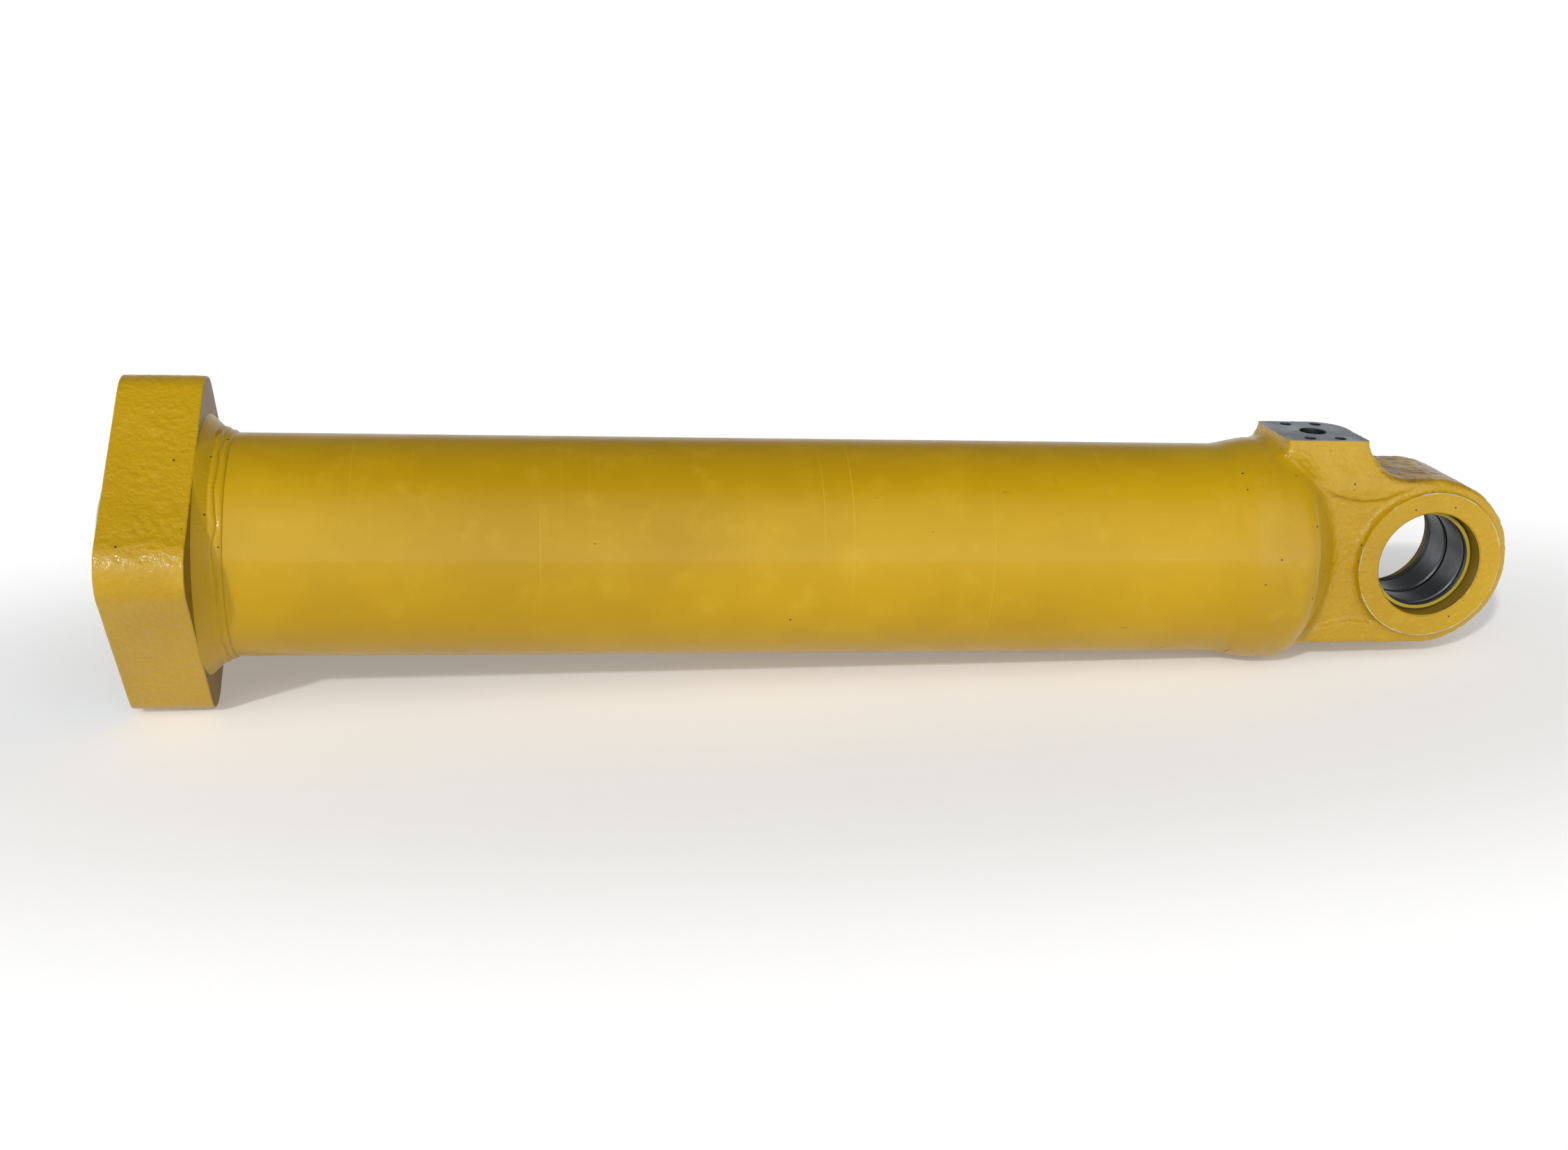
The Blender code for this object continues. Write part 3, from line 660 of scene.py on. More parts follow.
def forge_skin(points):
    """Height of the forged skin: soft dents everywhere, and a blistered patch on one side."""
    x, y, z = points.T
    dents = 0.30 * noise(points, 26, 1) + 0.14 * noise(points, 9, 2)
    side = ease(-y, 0, 30) * ease(z, 0, 25) * (1 - ease(x, 64, 69))
    patch = side * ease(x - 0.12 * y - 12 * noise(points, 30, 3), 26, 44)
    blister = 0.9 * noise(points, 5.2, 4) + 0.7 * np.abs(noise(points, 3.4, 5))
    rest = 0.16 * noise(points, 3.6, 6)
    return dents + patch * 0.55 * blister + rest * (1 - patch)


def flange_rows():
    """Rows of points round the flange's section, and how much forged skin each one carries."""
    ring, out = rounded_ring(
        FLANGE_HALF, FLANGE_HALF, FLANGE_CORNER_R, FLANGE_ROW, FLANGE_CLOCK - math.pi / 4)
    circle = ring / np.linalg.norm(ring, axis=1)[:, None]
    rows, weights = [], []

    def add_row(x, points, weight=0.0):
        rows.append(np.column_stack([np.full(FLANGE_ROW, x), points]))
        weights.append(weight)

    def edge_rows(low_turn, high_turn, place):
        for turn in np.radians(np.linspace(low_turn, high_turn, 6)):
            inset = FLANGE_EDGE * (1 - math.cos(turn))
            add_row(place(FLANGE_EDGE * (1 - math.sin(turn))), ring - out * inset, 1.0)

    seat, socket = GLAND_SEAT + GAP, TUBE_START - GAP
    for x, radius in ((seat, GLAND_R + GAP), (1.2, GLAND_R + GAP), (0.0, GLAND_R + 1.5)):
        add_row(x, circle * radius)
    for inset in (9.0, 5.0):
        add_row(0.0, ring - out * inset)
    edge_rows(90, 0, lambda depth: depth)
    for x in np.linspace(FLANGE_EDGE + 1.5, FLANGE_T - FLANGE_EDGE - 1.5, 42):
        add_row(x, ring, 1.0)
    edge_rows(0, 90, lambda depth: FLANGE_T - depth)
    for inset in (6.0, 12.0):
        add_row(FLANGE_T, ring - out * inset)
    for x, radius in (
        (FLANGE_T, TUBE_R + 4.0), (FLANGE_T, TUBE_R + GAP), (socket, TUBE_R + GAP),
        (socket, BORE_R), (seat, BORE_R),
    ):
        add_row(x, circle * radius)
    points = np.array(rows)
    skin = forge_skin(points.reshape(-1, 3)).reshape(points.shape[:2]) - SKIN_DROP
    points[:, :, 1:] += out[None] * (skin * np.array(weights)[:, None])[:, :, None]
    return points


def make_flange():
    points = flange_rows()
    faces = grid_faces(len(points), FLANGE_ROW, True, True)
    flange = raw_object("flange_body", points.reshape(-1, 3), faces, FLANGE_PAINT)
    rows, tap = thread_rows(-34, -1.5, 10.4, 12.0, 3.0, 6)
    profile = [(-40, 0)] + rows + [(-1.2, 12.0), (0.0, 13.0), (6.0, 13.0), (6.0, 0)]
    holes = []
    for i in range(4):
        angle = FLANGE_CLOCK + math.pi / 2 * i
        place = (0, FLANGE_PITCH_R * math.cos(angle), FLANGE_PITCH_R * math.sin(angle))
        holes.append(tool(lathe(profile, 32, closed=False, wobble=tap), place, mirror_x, BORED))
    for place in bolt_places():
        profile = [(20, 0), (20, 6.3), (56, 6.3), (58, 0)]
        holes.append(tool(lathe(profile, 24, closed=False), place, cut=BORED))
    carve(flange, holes)
    refinish(flange, PAD_STEEL, lambda at, way: (way[:, 0] < -0.99) & (at[:, 0] < 0.1))
    # Painted shade: the flange's back face gets the darker paint.
    refinish(flange, SHADE_PAINT, lambda at, way: (way[:, 0] > 0.9) & (at[:, 0] > FLANGE_T - 1))
    painted_piece(flange, FLANGE_PAINT, ["head_flange"])


def bolt_places():
    for i in range(GLAND_BOLTS):
        angle = 2 * math.pi * (i + 0.5) / GLAND_BOLTS
        yield 0, GLAND_PITCH_R * math.cos(angle), GLAND_PITCH_R * math.sin(angle)


def make_head_weld():
    """A fillet of three overlapping passes whose borders wander."""
    start = np.array([FLANGE_T - 0.6, WELD_R - 0.3])
    end = np.array([WELD_END - 0.2, TUBE_R - 0.15])
    share = np.linspace(0, 1, 44)
    outward = np.array([0.58, 0.81])
    sag = np.sin(np.pi * share) * 2.6
    hollow = start + share[:, None] * (end - start) - sag[:, None] * outward
    root = TUBE_R - 1.2
    profile = [*map(tuple, hollow), (WELD_END - 0.2, root), (FLANGE_T - 0.6, root)]

    def passes(x, radius, angle):
        circle = np.stack([60 * np.cos(angle), 60 * np.sin(angle), 0 * angle], -1).reshape(-1, 3)
        wander = (noise(circle, 9, 11) + 0.5 * noise(circle, 3.5, 12)).reshape(angle.shape)
        sway = (noise(circle, 14, 13) + 0.4 * noise(circle, 5, 14)).reshape(angle.shape)
        s = np.pad(share, (0, 2))[:, None] + 0 * angle
        first, second = 0.56 + 0.05 * wander, 0.78 + 0.07 * sway
        height = np.zeros_like(s)
        for low, high, tall in ((-0.02, first, 0.9), (first, second, 1.5), (second, 1.0, 1.5)):
            inside = np.clip((s - low) / (high - low), 0, 1)
            height = np.maximum(height, tall * np.sin(np.pi * inside) ** 0.75)
        ripple = 0.10 * np.sin(angle * 150 + 6 * s + 2.2 * sway) * np.sin(np.pi * s)
        height = (height + ripple) * (s > 0)
        return x + height * outward[0], radius + height * outward[1]

    bead = raw_object("weld_passes", *lathe(profile, 560, wobble=passes))
    painted_piece(bead, WELD_PAINT, ["head_weld_bead"], 60)


def make_tube():
    profile = [(TUBE_START, BORE_R), (TUBE_START, TUBE_R)]
    profile += [(x, TUBE_R) for x in np.linspace(TUBE_START + 20, TUBE_END - 12, 24)]
    profile += [(TUBE_END, TUBE_R), (TUBE_END, BORE_R)]

    def drawn(x, radius, angle):
        skin = 0.05 * noise(around_axis(x, radius, angle), 60, 21).reshape(x.shape) - 0.05
        return x, radius + np.where(radius > BORE_R + 1, skin, 0)

    tube = raw_object("tube_shell", *lathe(profile, 320, wobble=drawn), TUBE_PAINT)
    port = lathe(drill(70, 110, 9), 32, closed=False)
    carve(tube, [tool(port, (sum(span("rod_port_block")) / 2, 0, 0), about_y, BORED)])
    painted_piece(tube, TUBE_PAINT, ["barrel_tube"])


def make_cap_weld():
    start, end = TUBE_END - 3, CAP_START + GAP
    profile = [(x, swell(x)) for x in np.linspace(start, end, 12)]
    profile[0] = (start, TUBE_R - 0.12)
    profile += [(end, BORE_R + 0.4), (TUBE_END + GAP, BORE_R + 0.4)]
    profile += [(TUBE_END + GAP, TUBE_R - 0.8), (start, TUBE_R - 0.8)]

    def seam(x, radius, angle):
        skin = 0.25 * noise(around_axis(x, 100, angle), 12, 31).reshape(x.shape)
        crest = ease(x, TUBE_END - 2, TUBE_END + 3) * (1 - ease(x, CAP_START - 4, CAP_START))
        return x, radius + np.where(radius > TUBE_R, skin * crest, 0)

    ring = raw_object("cap_seam", *lathe(profile, 320, wobble=seam))
    painted_piece(ring, SEAM_PAINT, ["cap_weld_bead"], 50)


# ---- Cap end
DOME_R = 140.0
DOME_APEX = 1114.6
CAP_R = 106.4
LUG_HALF = 53.6
WEB_DEPTH = 3.2
PAD_HALF = (40.5, 41.0)
NET_STEP = 1.8
EYE_CHAMFER = 1.3
RECESS_R = 61.9
RECESS_END = 1036.0


def swell(x):
    """The radius to which the tube's end seam and the cap widen, at station x."""
    return TUBE_R + (CAP_R - TUBE_R) * ease(x, TUBE_END - 2, TUBE_END + 38)


def dome_field(x, rho):
    ball = np.hypot(x - (DOME_APEX - DOME_R), rho) - DOME_R
    return smooth_max(rho - swell(x), ball, 8.0)


def fillet(a, b, radius):
    """Two solids joined with a round fillet."""
    corner = np.hypot(np.maximum(radius - a, 0), np.maximum(radius - b, 0))
    return np.maximum(radius, np.minimum(a, b)) - corner


def round_edge(a, b, radius):
    """What two solids share, with a rounded edge."""
    corner = np.hypot(np.maximum(a + radius, 0), np.maximum(b + radius, 0))
    return np.minimum(np.maximum(a + radius, b + radius), 0) + corner - radius


def web_depth(u, z):
    """How deep the lug's side is sunk between its upper and lower rib. u runs from the eye."""
    upper = 61 + 0.0068 * (u + 72) ** 2
    lower = -58.4 - 0.005 * (u + 66) ** 2
    between = ease(np.minimum(upper - z, z - lower), -2.0, 3.0)
    return WEB_DEPTH * between * (1 - ease(u, -55, -15))


def lug_field(x, y, z):
    """The eye's lug with the port pad's column on it."""
    u = x - EYE_X
    lug = np.hypot(np.maximum(u, 0), z) - LUG_R
    column = np.maximum(np.abs(x - PAD_X) - PAD_HALF[0], -z)
    outline = fillet(lug, column, np.where(x > PAD_X, 40.0, 2.0))
    lean = ease(z, 72, PAD_TOP) * 0.55 + 0.45 * np.clip((z - 72) / (PAD_TOP - 72), 0, 1)
    side = np.abs(y) - LUG_HALF + (LUG_HALF - PAD_HALF[1]) * lean + web_depth(u, z)
    on_pad = ease(z, 84, 96)
    corner = 7.0 - 1.5 * on_pad + 23.0 * on_pad * ((x > PAD_X) & (y > 0))
    return round_edge(outline, side, corner)


def boss_field(x, y, z):
    flare = 0.45 * (BOSS_HALF - np.maximum(np.abs(y), LUG_HALF - 4))
    return np.maximum((np.hypot(x - EYE_X, z) - BOSS_R - flare) * 0.9, np.abs(y) - BOSS_HALF - 3)


def forging(points):
    """The cap-end forging's outside as one field of distances."""
    x, y, z = points.T
    body = smooth_min(dome_field(x, np.hypot(y, z)), lug_field(x, y, z), 14.0)
    body = smooth_min(body, boss_field(x, y, z), 4.0)
    return np.maximum(body, np.maximum(CAP_START - 5 - x, z - PAD_TOP - 2.5))


def port_tools(centre, top, turn, across, depth, bottom):
    """Cutters of a port face: the drilling, and four tapped holes round it. turn takes a shape
    about X onto the face, and across is the way of the pattern's long pitch."""
    mouth = PORT_R + PORT_CHAMFER
    drop = drill(bottom, top - PORT_CHAMFER, PORT_R)[:-1]
    drop += [(top, mouth), (top + 8, mouth), (top + 8, 0)]
    tools = [tool(lathe(drop, 64, closed=False), centre, turn, BORED)]
    lift = turn(np.array([[top, 0, 0]]))[0]
    for a in (-0.5, 0.5):
        for b in (-0.5, 0.5):
            place = np.array(centre) + lift + np.array([a * PORT_PITCH[0], 0, 0])
            place = place + b * PORT_PITCH[1] * np.array(across)
            tools.append(tool(tapped_hole(depth, 4.3, 5.0, 1.5), place, turn, BORED))
    return tools


def make_cap():
    low, high = (CAP_START - 8, -112, -112), (EYE_X + LUG_R + 6, 112, PAD_TOP + 6)
    points, faces = surface_net(forging, low, high, NET_STEP)
    points, outward = settle(forging, points)
    x, y, z = points.T
    pebbles = 0.26 * noise(points, 12, 41) + 0.42 * noise(points, 4.8, 42) - 0.66
    on_dome = ease(lug_field(x, y, z), 1.0, 8.0)
    keep = (np.abs(y) < BOSS_HALF - 1) * ease(x, CAP_START, CAP_START + 15)
    points = points + outward * (pebbles * (1 - 0.8 * on_dome) * keep)[:, None]
    cap = raw_object("cap_forging", points, faces, CAP_PAINT)
    # The dome is wider than the boss, so the boss's faces are cut only round the eye.
    far, face_start = 200.0, EYE_X - 95
    carve(cap, [
        block_tool((face_start, -far, -far), (face_start + 400, -BOSS_HALF, far)),
        block_tool((face_start, BOSS_HALF, -far), (face_start + 400, far, far)),
        block_tool((PAD_X - 90, -far, PAD_TOP), (PAD_X + 90, far, PAD_TOP + 40), MILLED),
        block_tool((CAP_START - 20, -far, -far), (CAP_START + GAP, far, far)),
    ])
    inner, outer = RECESS_R + 0.1, BORE_R - GAP
    spigot = [
        (SPIGOT_START, inner), (SPIGOT_START, outer - 2), (SPIGOT_START + 2, outer),
        (CAP_START + 4, outer), (CAP_START + 4, inner),
    ]
    carve(cap, [tool(lathe(spigot, 160))], "UNION")
    mouth = EYE_BORE_R + EYE_CHAMFER
    eye = [(-70, 0), (-70, mouth + 12.3), (-BOSS_HALF, mouth), (EYE_CHAMFER - BOSS_HALF, EYE_BORE_R)]
    eye += [(-y, radius) for y, radius in reversed(eye)]
    recess = drill(CAP_START - 4, RECESS_END, RECESS_R)
    gallery = drill(RECESS_END - 5, PAD_X + 2, PORT_R - 1)
    carve(cap, [
        tool(lathe(eye, 200, closed=False), (EYE_X, 0, 0), about_y),
        tool(lathe(recess, 120, closed=False), cut=BORED),
        tool(lathe(gallery, 48, closed=False), cut=BORED),
        *port_tools((PAD_X, 0, 0), PAD_TOP, about_z, (0, 1, 0), 20, -6),
    ])
    # Painted shade: the wall of the eye's bore gets the darker paint.
    refinish(cap, EYE_BORE_SHADE_PAINT, lambda at, way: (
        (np.hypot(at[:, 0] - EYE_X, at[:, 2]) < EYE_BORE_R + 0.5) & (np.abs(way[:, 1]) < 0.3)))
    refinish(cap, DOME_PAINT, lambda at, way: (
        (lug_field(*at.T) > 4.0) & (boss_field(*at.T) > 4.0)
        & (dome_field(at[:, 0], np.hypot(at[:, 1], at[:, 2])) > -2.0)))
    painted_piece(cap, CAP_PAINT, ["cap_end_eye"], 32)


def pin_ring(name, node, slot, side, profile):
    """A ring in the eye. Its profile runs outward from the middle, on the near or the far side."""
    points, faces = lathe(profile, 180)
    points = about_y(points) * np.array([1, side, 1]) + np.array([EYE_X, 0, 0])
    finish_piece(raw_object(name, points, faces), "barrel", slot, [node])


def make_eye_fittings():
    lip = PIN_R + 0.4
    for side, name in ((-1, "near"), (1, "far")):
        node = f"eye_bushing_{name}"
        a, b = sorted(np.abs(across(node)))
        pin_ring(f"pin_bush_{name}", node, "machined_steel", side, [
            (a, PIN_R + 1.6), (a, SEAL_R - 1), (a + 1, SEAL_R), (b - 1, SEAL_R), (b, SEAL_R - 1),
            (b, PIN_R + 1.2), (b - 1.2, PIN_R), (a + 1.6, PIN_R),
        ])
        node = f"eye_seal_{name}"
        a, b = sorted(np.abs(across(node)))
        pin_ring(f"lip_seal_{name}", node, "painted_lip_seal", side, [
            (a, lip + 1.5), (a, SEAL_R), (b - 3.2, SEAL_R), (b - 3.2, SEAL_R - 1.3),
            (b - 0.5, SEAL_R - 1.3), (b, SEAL_R - 1.8), (b, lip + 0.6), (b - 0.6, lip),
            (b - 2.2, lip),
        ])


# ---- Rod-side port
def make_rod_port():
    centre_x = sum(span("rod_port_block")) / 2
    top = across("rod_port_block")[1]

    def field(points):
        x, y, z = points.T
        drop = np.clip((top - y) / 30, 0, 1)
        long, wide = np.abs(x - centre_x) - 36.8 - 3 * drop, np.abs(z) - 40 - 2 * drop
        return np.maximum(np.maximum(round_edge(long, wide, 5), y - top - 2), 80 - y)

    points, faces = surface_net(field, (100, 76, -50), (200, top + 6, 50), NET_STEP)
    points, _ = settle(field, points)
    block = raw_object("rod_side_port", points, faces, BLOCK_PAINT)
    carve(block, [
        block_tool((90, top, -60), (210, top + 20, 60), MILLED),
        tool(lathe(drill(90, 210, TUBE_R + 0.2), 320, closed=False)),
        *port_tools((centre_x, 0, 0), top, about_y, (0, 0, 1), 10, 70),
    ])
    painted_piece(block, BLOCK_PAINT, ["rod_port_block"])
    make_port_bead(centre_x)


def make_port_bead(centre_x):
    """A fillet weld round the foot of the rod-side port block."""
    count, sides, size = 420, 14, 4.3
    path, out = rounded_ring(39.6, 41.8, 6.0, count)
    travel = np.arange(count)
    seeds = np.column_stack([path, travel * 0])
    size = size * (1 + 0.05 * np.sin(travel * 0.9) + 0.08 * noise(seeds, 12, 51))
    rows = []
    for angle in np.linspace(0, 2 * np.pi, sides, endpoint=False):
        step = path + out * (size * math.cos(angle))[:, None]
        foot = np.sqrt(np.maximum(TUBE_R ** 2 - step[:, 1] ** 2, 0)) + size * math.sin(angle)
        rows.append(np.column_stack([step[:, 0] + centre_x, foot, step[:, 1]]))
    faces = grid_faces(sides, count, True, True)
    bead = raw_object("port_weld", np.array(rows).reshape(-1, 3), faces)
    painted_piece(bead, WELD_PAINT, sharp=60)


# ---- Gland
GROOVES = ((24.0, 38.9, 63), (50, 58.6, 62), (68, 88.6, 58.5), (96, 116.6, 58.5))
STATIC_GROOVE = (96, 107, 74.3)
SCREW_R = 6.0
SCREW_HEAD = (12.0, 9.0)         # height and radius


def make_gland():
    outer, bore = BORE_R - GAP, ROD_R + 0.5
    g = GLAND_START
    profile = [(g, 64.5), (g + 1.2, 63), (12.5, 63), (12.5, bore)]
    for start, end, floor in GROOVES:
        profile += [(start, bore), (start, floor), (end, floor), (end, bore)]
    start, end, floor = STATIC_GROOVE
    profile += [
        (GLAND_END, bore), (GLAND_END, outer - 3), (GLAND_END - 5, outer), (end, outer),
        (end, floor), (start, floor), (start, outer), (GLAND_SEAT + 1, outer),
        (GLAND_SEAT, outer + 0.1), (GLAND_SEAT, GLAND_R - 0.6), (GLAND_SEAT - 0.6, GLAND_R),
        (g + 1.0, GLAND_R), (g, GLAND_R - 1.0), (g, GLAND_R - 4.0), (g + 0.25, GLAND_R - 4.4),
        (g + 0.25, 80), (g, 79.5),
    ]
    gland = raw_object("gland_head", *lathe(profile, 200), IRON)
    under = g + SCREW_HEAD[0] + 1.3
    stepped = [(-9, 0), (-9, 10.3), (g - 0.01, 10.3), (g + 0.9, 9.5), (under, 9.5)]
    stepped += drill(under, 40, SCREW_R + 0.6)[1:]
    carve(gland, [tool(lathe(stepped, 36, closed=False), place) for place in bolt_places()])
    finish_piece(gland, "barrel", "gland_iron", ["rod_gland"])


def make_bolts():
    """Socket head screws with a knurled head and a hexagon socket."""
    head, tip = span("gland_bolt_01")
    height, head_r = SCREW_HEAD
    half_key = 5.0
    key_r = half_key / math.cos(FLAT / 2)
    profile = [
        (head + 7.0, 0), (head + 6.0, key_r), (head + 0.5, key_r), (head, key_r + 0.5),
        (head, 7.6), (head + 1.1, head_r), (head + 1.6, head_r), (head + height - 0.4, head_r),
        (head + height, head_r - 0.4), (head + height, SCREW_R + 0.3),
        (head + height + 0.6, SCREW_R), (head + 24, SCREW_R),
    ]
    rows, cut = thread_rows(head + 24, tip - 1.6, 5.15, SCREW_R, 1.75)
    profile += rows + [(tip, 4.6), (tip, 0)]

    def shape(x, radius, angle):
        x, radius = cut(x, radius, angle)
        radius[1:3] = hexagon(angle[1:3], half_key)
        knurl = 0.16 * (np.cos(angle * 36) - 1)
        head_rows = (np.abs(radius - head_r) < 1e-6) & (x > head + 1.5)
        return x, radius + np.where(head_rows, knurl, 0)

    for i, place in enumerate(bolt_places()):
        points, faces = lathe(profile, 72, closed=False, wobble=shape)
        bolt = raw_object(f"socket_screw_{i + 1:02d}", points, faces)
        bolt.data.transform(Matrix.Translation(Vector(place) * MM))
        finish_piece(bolt, "barrel", "black_oxide", [f"gland_bolt_{i + 1:02d}"])


def make_gland_seals():
    lip = ROD_R + 0.4
    a, b = span("rod_wiper")
    ring_piece("wiper_lip", "rod_wiper", "barrel", "polyurethane", [
        (a + 1, 62.7), (b, 62.7), (b, 59.0), (b - 2.5, 57.5), (b - 1.2, lip), (b - 2.2, lip),
        (b - 4.5, 57.2), (a + 3, lip + 0.8), (a, lip), (a, lip + 1.2), (a + 2.6, 58.6), (a + 1, 60.5),
    ])
    a, b = span("rod_seal")
    ring_piece("rod_u_cup", "rod_seal", "barrel", "polyurethane", [
        (a, 62.3), (a, 61.4), (b - 5.5, 60.6), (b - 4.0, 59.1), (b - 5.5, 57.6), (a, 56.6), (a, lip),
        (a + 3, lip), (b, lip + 0.5), (b, 62.7), (a + 2, 62.7),
    ])
    for name, node, slot, outer in (
        ("rod_backup", "rod_seal_backup_ring", "bronze_ptfe", 62.7),
        ("buffer_ring", "rod_buffer_seal", "bronze_ptfe", 61.7),
        ("guide_band_front", "rod_guide_ring_front", "fabric_phenolic", 58.2),
        ("guide_band_rear", "rod_guide_ring_rear", "fabric_phenolic", 58.2),
    ):
        ring_piece(name, node, "barrel", slot, chamfered(*span(node), lip, outer, 0.5))
    floor = STATIC_GROOVE[2]
    cord_ring("gland_cord_ring", "gland_o_ring", "barrel", (BORE_R + floor) / 2, 2.5, 24)
    backup = chamfered(*span("gland_backup_ring"), floor + GAP, BORE_R - GAP, 0.4)
    ring_piece("gland_backup", "gland_backup_ring", "barrel", "bronze_ptfe", backup)


# ---- Rod and piston
SPIGOT_R = 42.0
ROD_THREAD_R = 40.0
THREAD_PITCH = 3.0
PISTON_GROOVES = ((3.5, 9.5, 73.7), (14, 32, 76.2), (36, 46, 69), (50, 68, 76.2), (72, 77.5, 73.7))


def make_rod():
    s = ROD_START
    bottom = s + 90
    shoulder = PISTON_START - GAP
    rows, socket_cut = thread_rows(bottom - 6, s + 3.5, 30.6, 32.0, THREAD_PITCH)
    profile = [(bottom + 7, 0), (bottom, 30.2)] + rows + [
        (s + 3.0, 32.6), (s + 1.0, 32.6), (s, 33.6), (s, ROD_R - 3.4), (s + 0.2, ROD_R - 3.0),
        (s + 3, ROD_R - 0.1), (s + 3.4, ROD_R), (s + 19, ROD_R),
    ]
    profile += [(x, ROD_R) for x in np.linspace(s + 60, shoulder - 4, 12)]
    profile += [(shoulder - 1, ROD_R), (shoulder, ROD_R - 1)]
    profile += [(shoulder, SPIGOT_R), (PISTON_END, SPIGOT_R)]
    rows, stud_cut = thread_rows(
        PISTON_END + 1, ROD_END - 3, ROD_THREAD_R - 1.4, ROD_THREAD_R, THREAD_PITCH)
    profile += rows + [(ROD_END, ROD_THREAD_R - 2), (ROD_END, 0)]

    def threads(x, radius, angle):
        return stud_cut(*socket_cut(x, radius, angle), angle)

    rod = raw_object("chrome_rod", *lathe(profile, 144, closed=False, wobble=threads), CHROME)
    carve(rod, [
        block_tool((s - 30, -90, -100), (s + 16, -47.5, 100)),
        block_tool((s - 30, 47.5, -100), (s + 16, 90, 100)),
    ])
    refinish(rod, BORE_STEEL, lambda at, way: (
        (np.hypot(at[:, 1], at[:, 2]) < 33.7) & (at[:, 0] < bottom + 10) & (at[:, 0] > s + 0.1)))
    refinish(rod, PAD_STEEL, lambda at, way: (np.abs(way[:, 0]) > 0.9) & (at[:, 0] < s + 20))
    finish_piece(rod, "rod", "rod_chrome", ["piston_rod"])


def make_piston():
    s, e = PISTON_START, PISTON_END
    outer, bore = reach("piston"), SPIGOT_R + GAP
    profile = [(s, bore + 0.8), (s, outer - 2), (s + 2, outer)]
    for start, stop, floor in PISTON_GROOVES:
        profile += [(s + start, outer), (s + start, floor), (s + stop, floor), (s + stop, outer)]
    profile += [
        (e - 1, outer), (e, outer - 1), (e, bore + 0.8), (e - 0.8, bore), (s + 26.2, bore),
        (s + 26.2, 46), (s + 20, 46), (s + 20, bore), (s + 0.8, bore),
    ]
    ring_piece("piston_head", "piston", "rod", "gland_iron", profile)
    cord_ring("piston_cord_ring", "piston_bore_o_ring", "rod", 44.0, 1.65, 20)
    wall = BORE_R - GAP
    for name, node, slot, inner, outer, c in (
        ("slide_seal", "piston_seal", "bronze_ptfe", 75.3, wall, 0.4),
        ("wear_band_front", "piston_wear_ring_front", "fabric_phenolic", 76.9, wall, 0.4),
        ("wear_band_rear", "piston_wear_ring_rear", "fabric_phenolic", 76.9, wall, 0.4),
        ("dust_band_front", "piston_dust_ring_front", "bronze_ptfe", 74.4, wall, 0.4),
        ("dust_band_rear", "piston_dust_ring_rear", "bronze_ptfe", 74.4, wall, 0.4),
        ("energizer", "piston_seal_energizer", "seal_rubber", 69.8, 74.9, 1.6),
    ):
        ring_piece(name, node, "piston_rings", slot, chamfered(*span(node), inner, outer, c))


def make_nut():
    a, b = span("piston_nut")
    outer = reach("piston_nut")
    rows, cut = thread_rows(a + 1.5, b - 1.5, 40.4, 41.3, THREAD_PITCH)
    profile = rows + [
        (b, 42.0), (b, outer - 2), (b - 2, outer), (a + 2, outer), (a, outer - 2), (a, 42.0),
    ]
    nut = raw_object("slotted_nut", *lathe(profile, 144, wobble=cut), OXIDE)
    tools = []
    for i in range(4):
        slot = block_tool((b - 14, -5, outer - 6), (b + 26, 5, outer + 6))
        slot.data.transform(Matrix.Rotation(math.radians(45 + 90 * i), 4, "X"))
        tools.append(slot)
    screw_x = (a + b) / 2 - 4
    tools.append(tool(lathe(drill(30, 70, 4.3), 32, closed=False), (screw_x, 0, 0), about_z))
    carve(nut, tools)
    finish_piece(nut, "rod", "black_oxide", ["piston_nut"])
    make_lock_screw(screw_x)


def make_lock_screw(screw_x):
    low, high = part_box("nut_lock_screw")
    tip, head = low.z / MM, high.z / MM
    half_key = 2.0
    key_r = half_key / math.cos(FLAT / 2)
    profile = [
        (tip, 0), (tip, 2.6), (tip + 1.2, 3.9), (head - 0.4, 3.9), (head, 3.5), (head, key_r + 0.2),
        (head - 0.2, key_r), (head - 4, key_r), (head - 4.6, 0),
    ]

    def hexed(x, radius, angle):
        radius[6:8] = hexagon(angle[6:8], half_key)
        return x, radius

    points, faces = lathe(profile, 48, closed=False, wobble=hexed)
    screw = raw_object("lock_screw", about_z(points) + np.array([screw_x, 0, 0]), faces)
    finish_piece(screw, "rod", "black_oxide", ["nut_lock_screw"])


# ---- Studio
REST_R, REST_X = CAP_R, 1045.0   # where the cap end touches the floor
FLOOR_TILT = math.atan2(150.0 - REST_R, REST_X - FLANGE_T)
FRONT_LIGHT = (0.05, -0.94, 0.33)
FRONT_POWER = 1.36
SKY_POWER = 0.13
HORIZON_POWER = 1.05
SUN_WAY = (0.45, 0.75, -0.48)
SUN_POWER = 1.5
CAMERA_AT = (FRONT + 0.3353, -1.6345, 0.4942)
CAMERA_TURNS = (("Z", -0.1543), ("X", -0.3062), ("Y", -0.0473))
CAMERA_LENS = 42.41


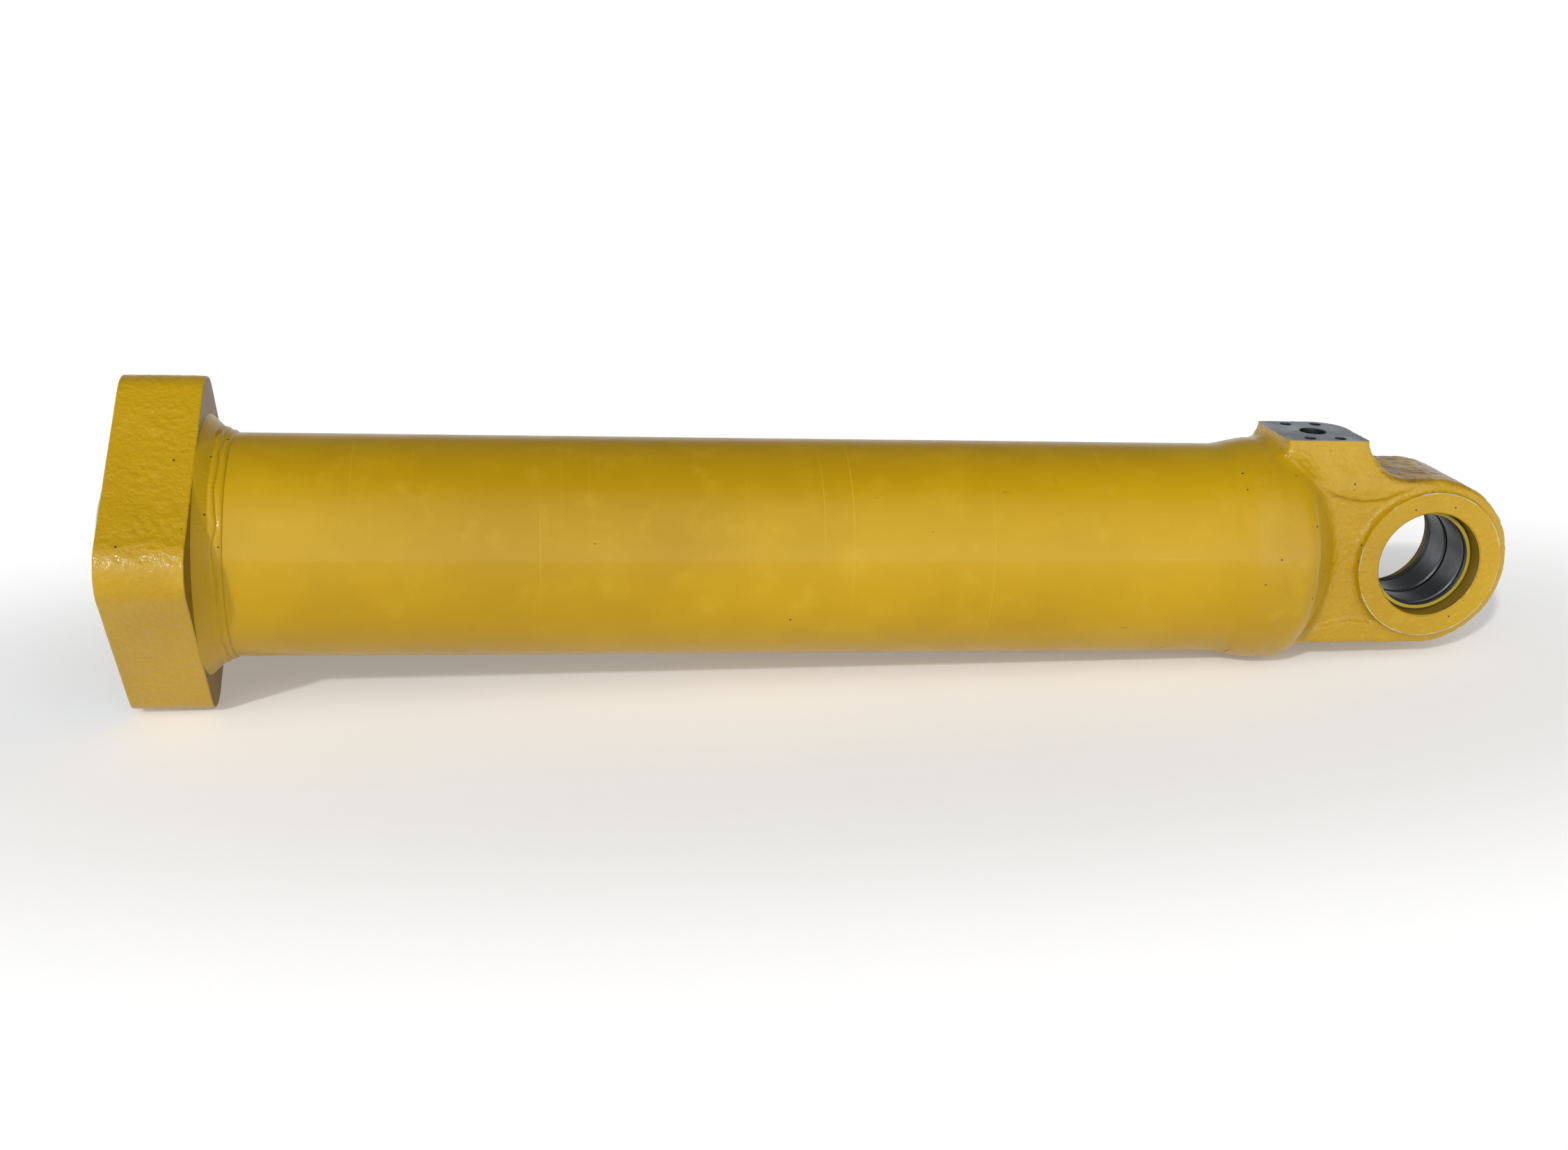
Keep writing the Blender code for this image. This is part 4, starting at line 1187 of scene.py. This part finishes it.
def make_floor():
    """A pale floor that touches the flange's lowest corner and the cap end, as the part lies on it.
    Its glow is weaker round the part, a painted shadow there, which also lets the part's cast shadow
    show."""
    bpy.ops.mesh.primitive_plane_add(size=30)
    floor = bpy.context.object
    floor.name = "floor"
    floor.location = (FRONT + FLANGE_T * MM, 0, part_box("head_flange")[0].z - 0.0002)
    floor.rotation_euler = (0, -FLOOR_TILT, 0)
    shader = Shader("floor_paper")
    tone = shader.mix(shader.noise(3.0), (0.84, 0.84, 0.84), (0.87, 0.87, 0.87))
    shader.set(Base_Color=tone, Roughness=0.9, Normal=shader.bump(shader.noise(400.0), 0.00005))
    # Painted shadow: the floor's glow drops round the part.
    x, y, _ = shader.xyz()
    x = shader.math("SUBTRACT", shader.product(x, 1 / 0.95), 0.6)
    glow_with_painted_shadow = shader.range(shader.squares(x, shader.product(y, 1 / 0.42)), 0.1, 2.2, 0.15, 0.42)
    shader.set(Specular_IOR_Level=0.1, Emission_Color=(1, 1, 1), Emission_Strength=glow_with_painted_shadow)
    floor.data.materials.append(shader.material)


def make_studio():
    """A soft front light and a pale horizon under a dim ceiling."""
    world = bpy.data.worlds.new("studio")
    bpy.context.scene.world = world
    world.use_nodes = True
    sky = Nodes(world.node_tree)
    way = sky.add("ShaderNodeTexCoord").outputs["Generated"]
    height = sky.add("ShaderNodeSeparateXYZ", Vector=way).outputs["Z"]
    toward = sky.add("ShaderNodeVectorMath", {"operation": "DOT_PRODUCT"}, _0=way, _1=FRONT_LIGHT)
    front = sky.range(toward.outputs["Value"], 0.42, 0.97, 0.0, FRONT_POWER)
    horizon = sky.range(height, 0.48, 0.03, SKY_POWER, HORIZON_POWER)
    background = sky.tree.nodes["Background"]
    sky.join(background.inputs["Color"], (1, 1, 1))
    sky.join(background.inputs["Strength"], sky.math("ADD", front, horizon))
    sun = bpy.data.lights.new("sparkle", "SUN")
    sun.energy = SUN_POWER
    sun.angle = math.radians(3)
    light = bpy.data.objects.new("sparkle", sun)
    light.rotation_euler = Vector(SUN_WAY).to_track_quat("-Z", "Y").to_euler()
    bpy.context.scene.collection.objects.link(light)
    bpy.context.scene.view_settings.view_transform = "Standard"


def make_camera():
    data = bpy.data.cameras.new("camera")
    data.sensor_width = 36
    data.lens = CAMERA_LENS
    camera = bpy.data.objects.new("camera", data)
    turn = Matrix.Identity(3)
    for axis, angle in CAMERA_TURNS:
        turn = turn @ Matrix.Rotation(angle, 3, axis)
    # A camera looks along its own -Z.
    turn = turn @ Matrix.Rotation(math.pi / 2, 3, "X")
    camera.matrix_world = Matrix.Translation(CAMERA_AT) @ turn.to_4x4()
    bpy.context.scene.collection.objects.link(camera)
    bpy.context.scene.camera = camera


make_camera()
make_studio()
make_floor()
make_flange()
make_head_weld()
make_tube()
make_cap_weld()
make_cap()
make_eye_fittings()
make_rod_port()
make_gland()
make_bolts()
make_gland_seals()
make_rod()
make_piston()
make_nut()
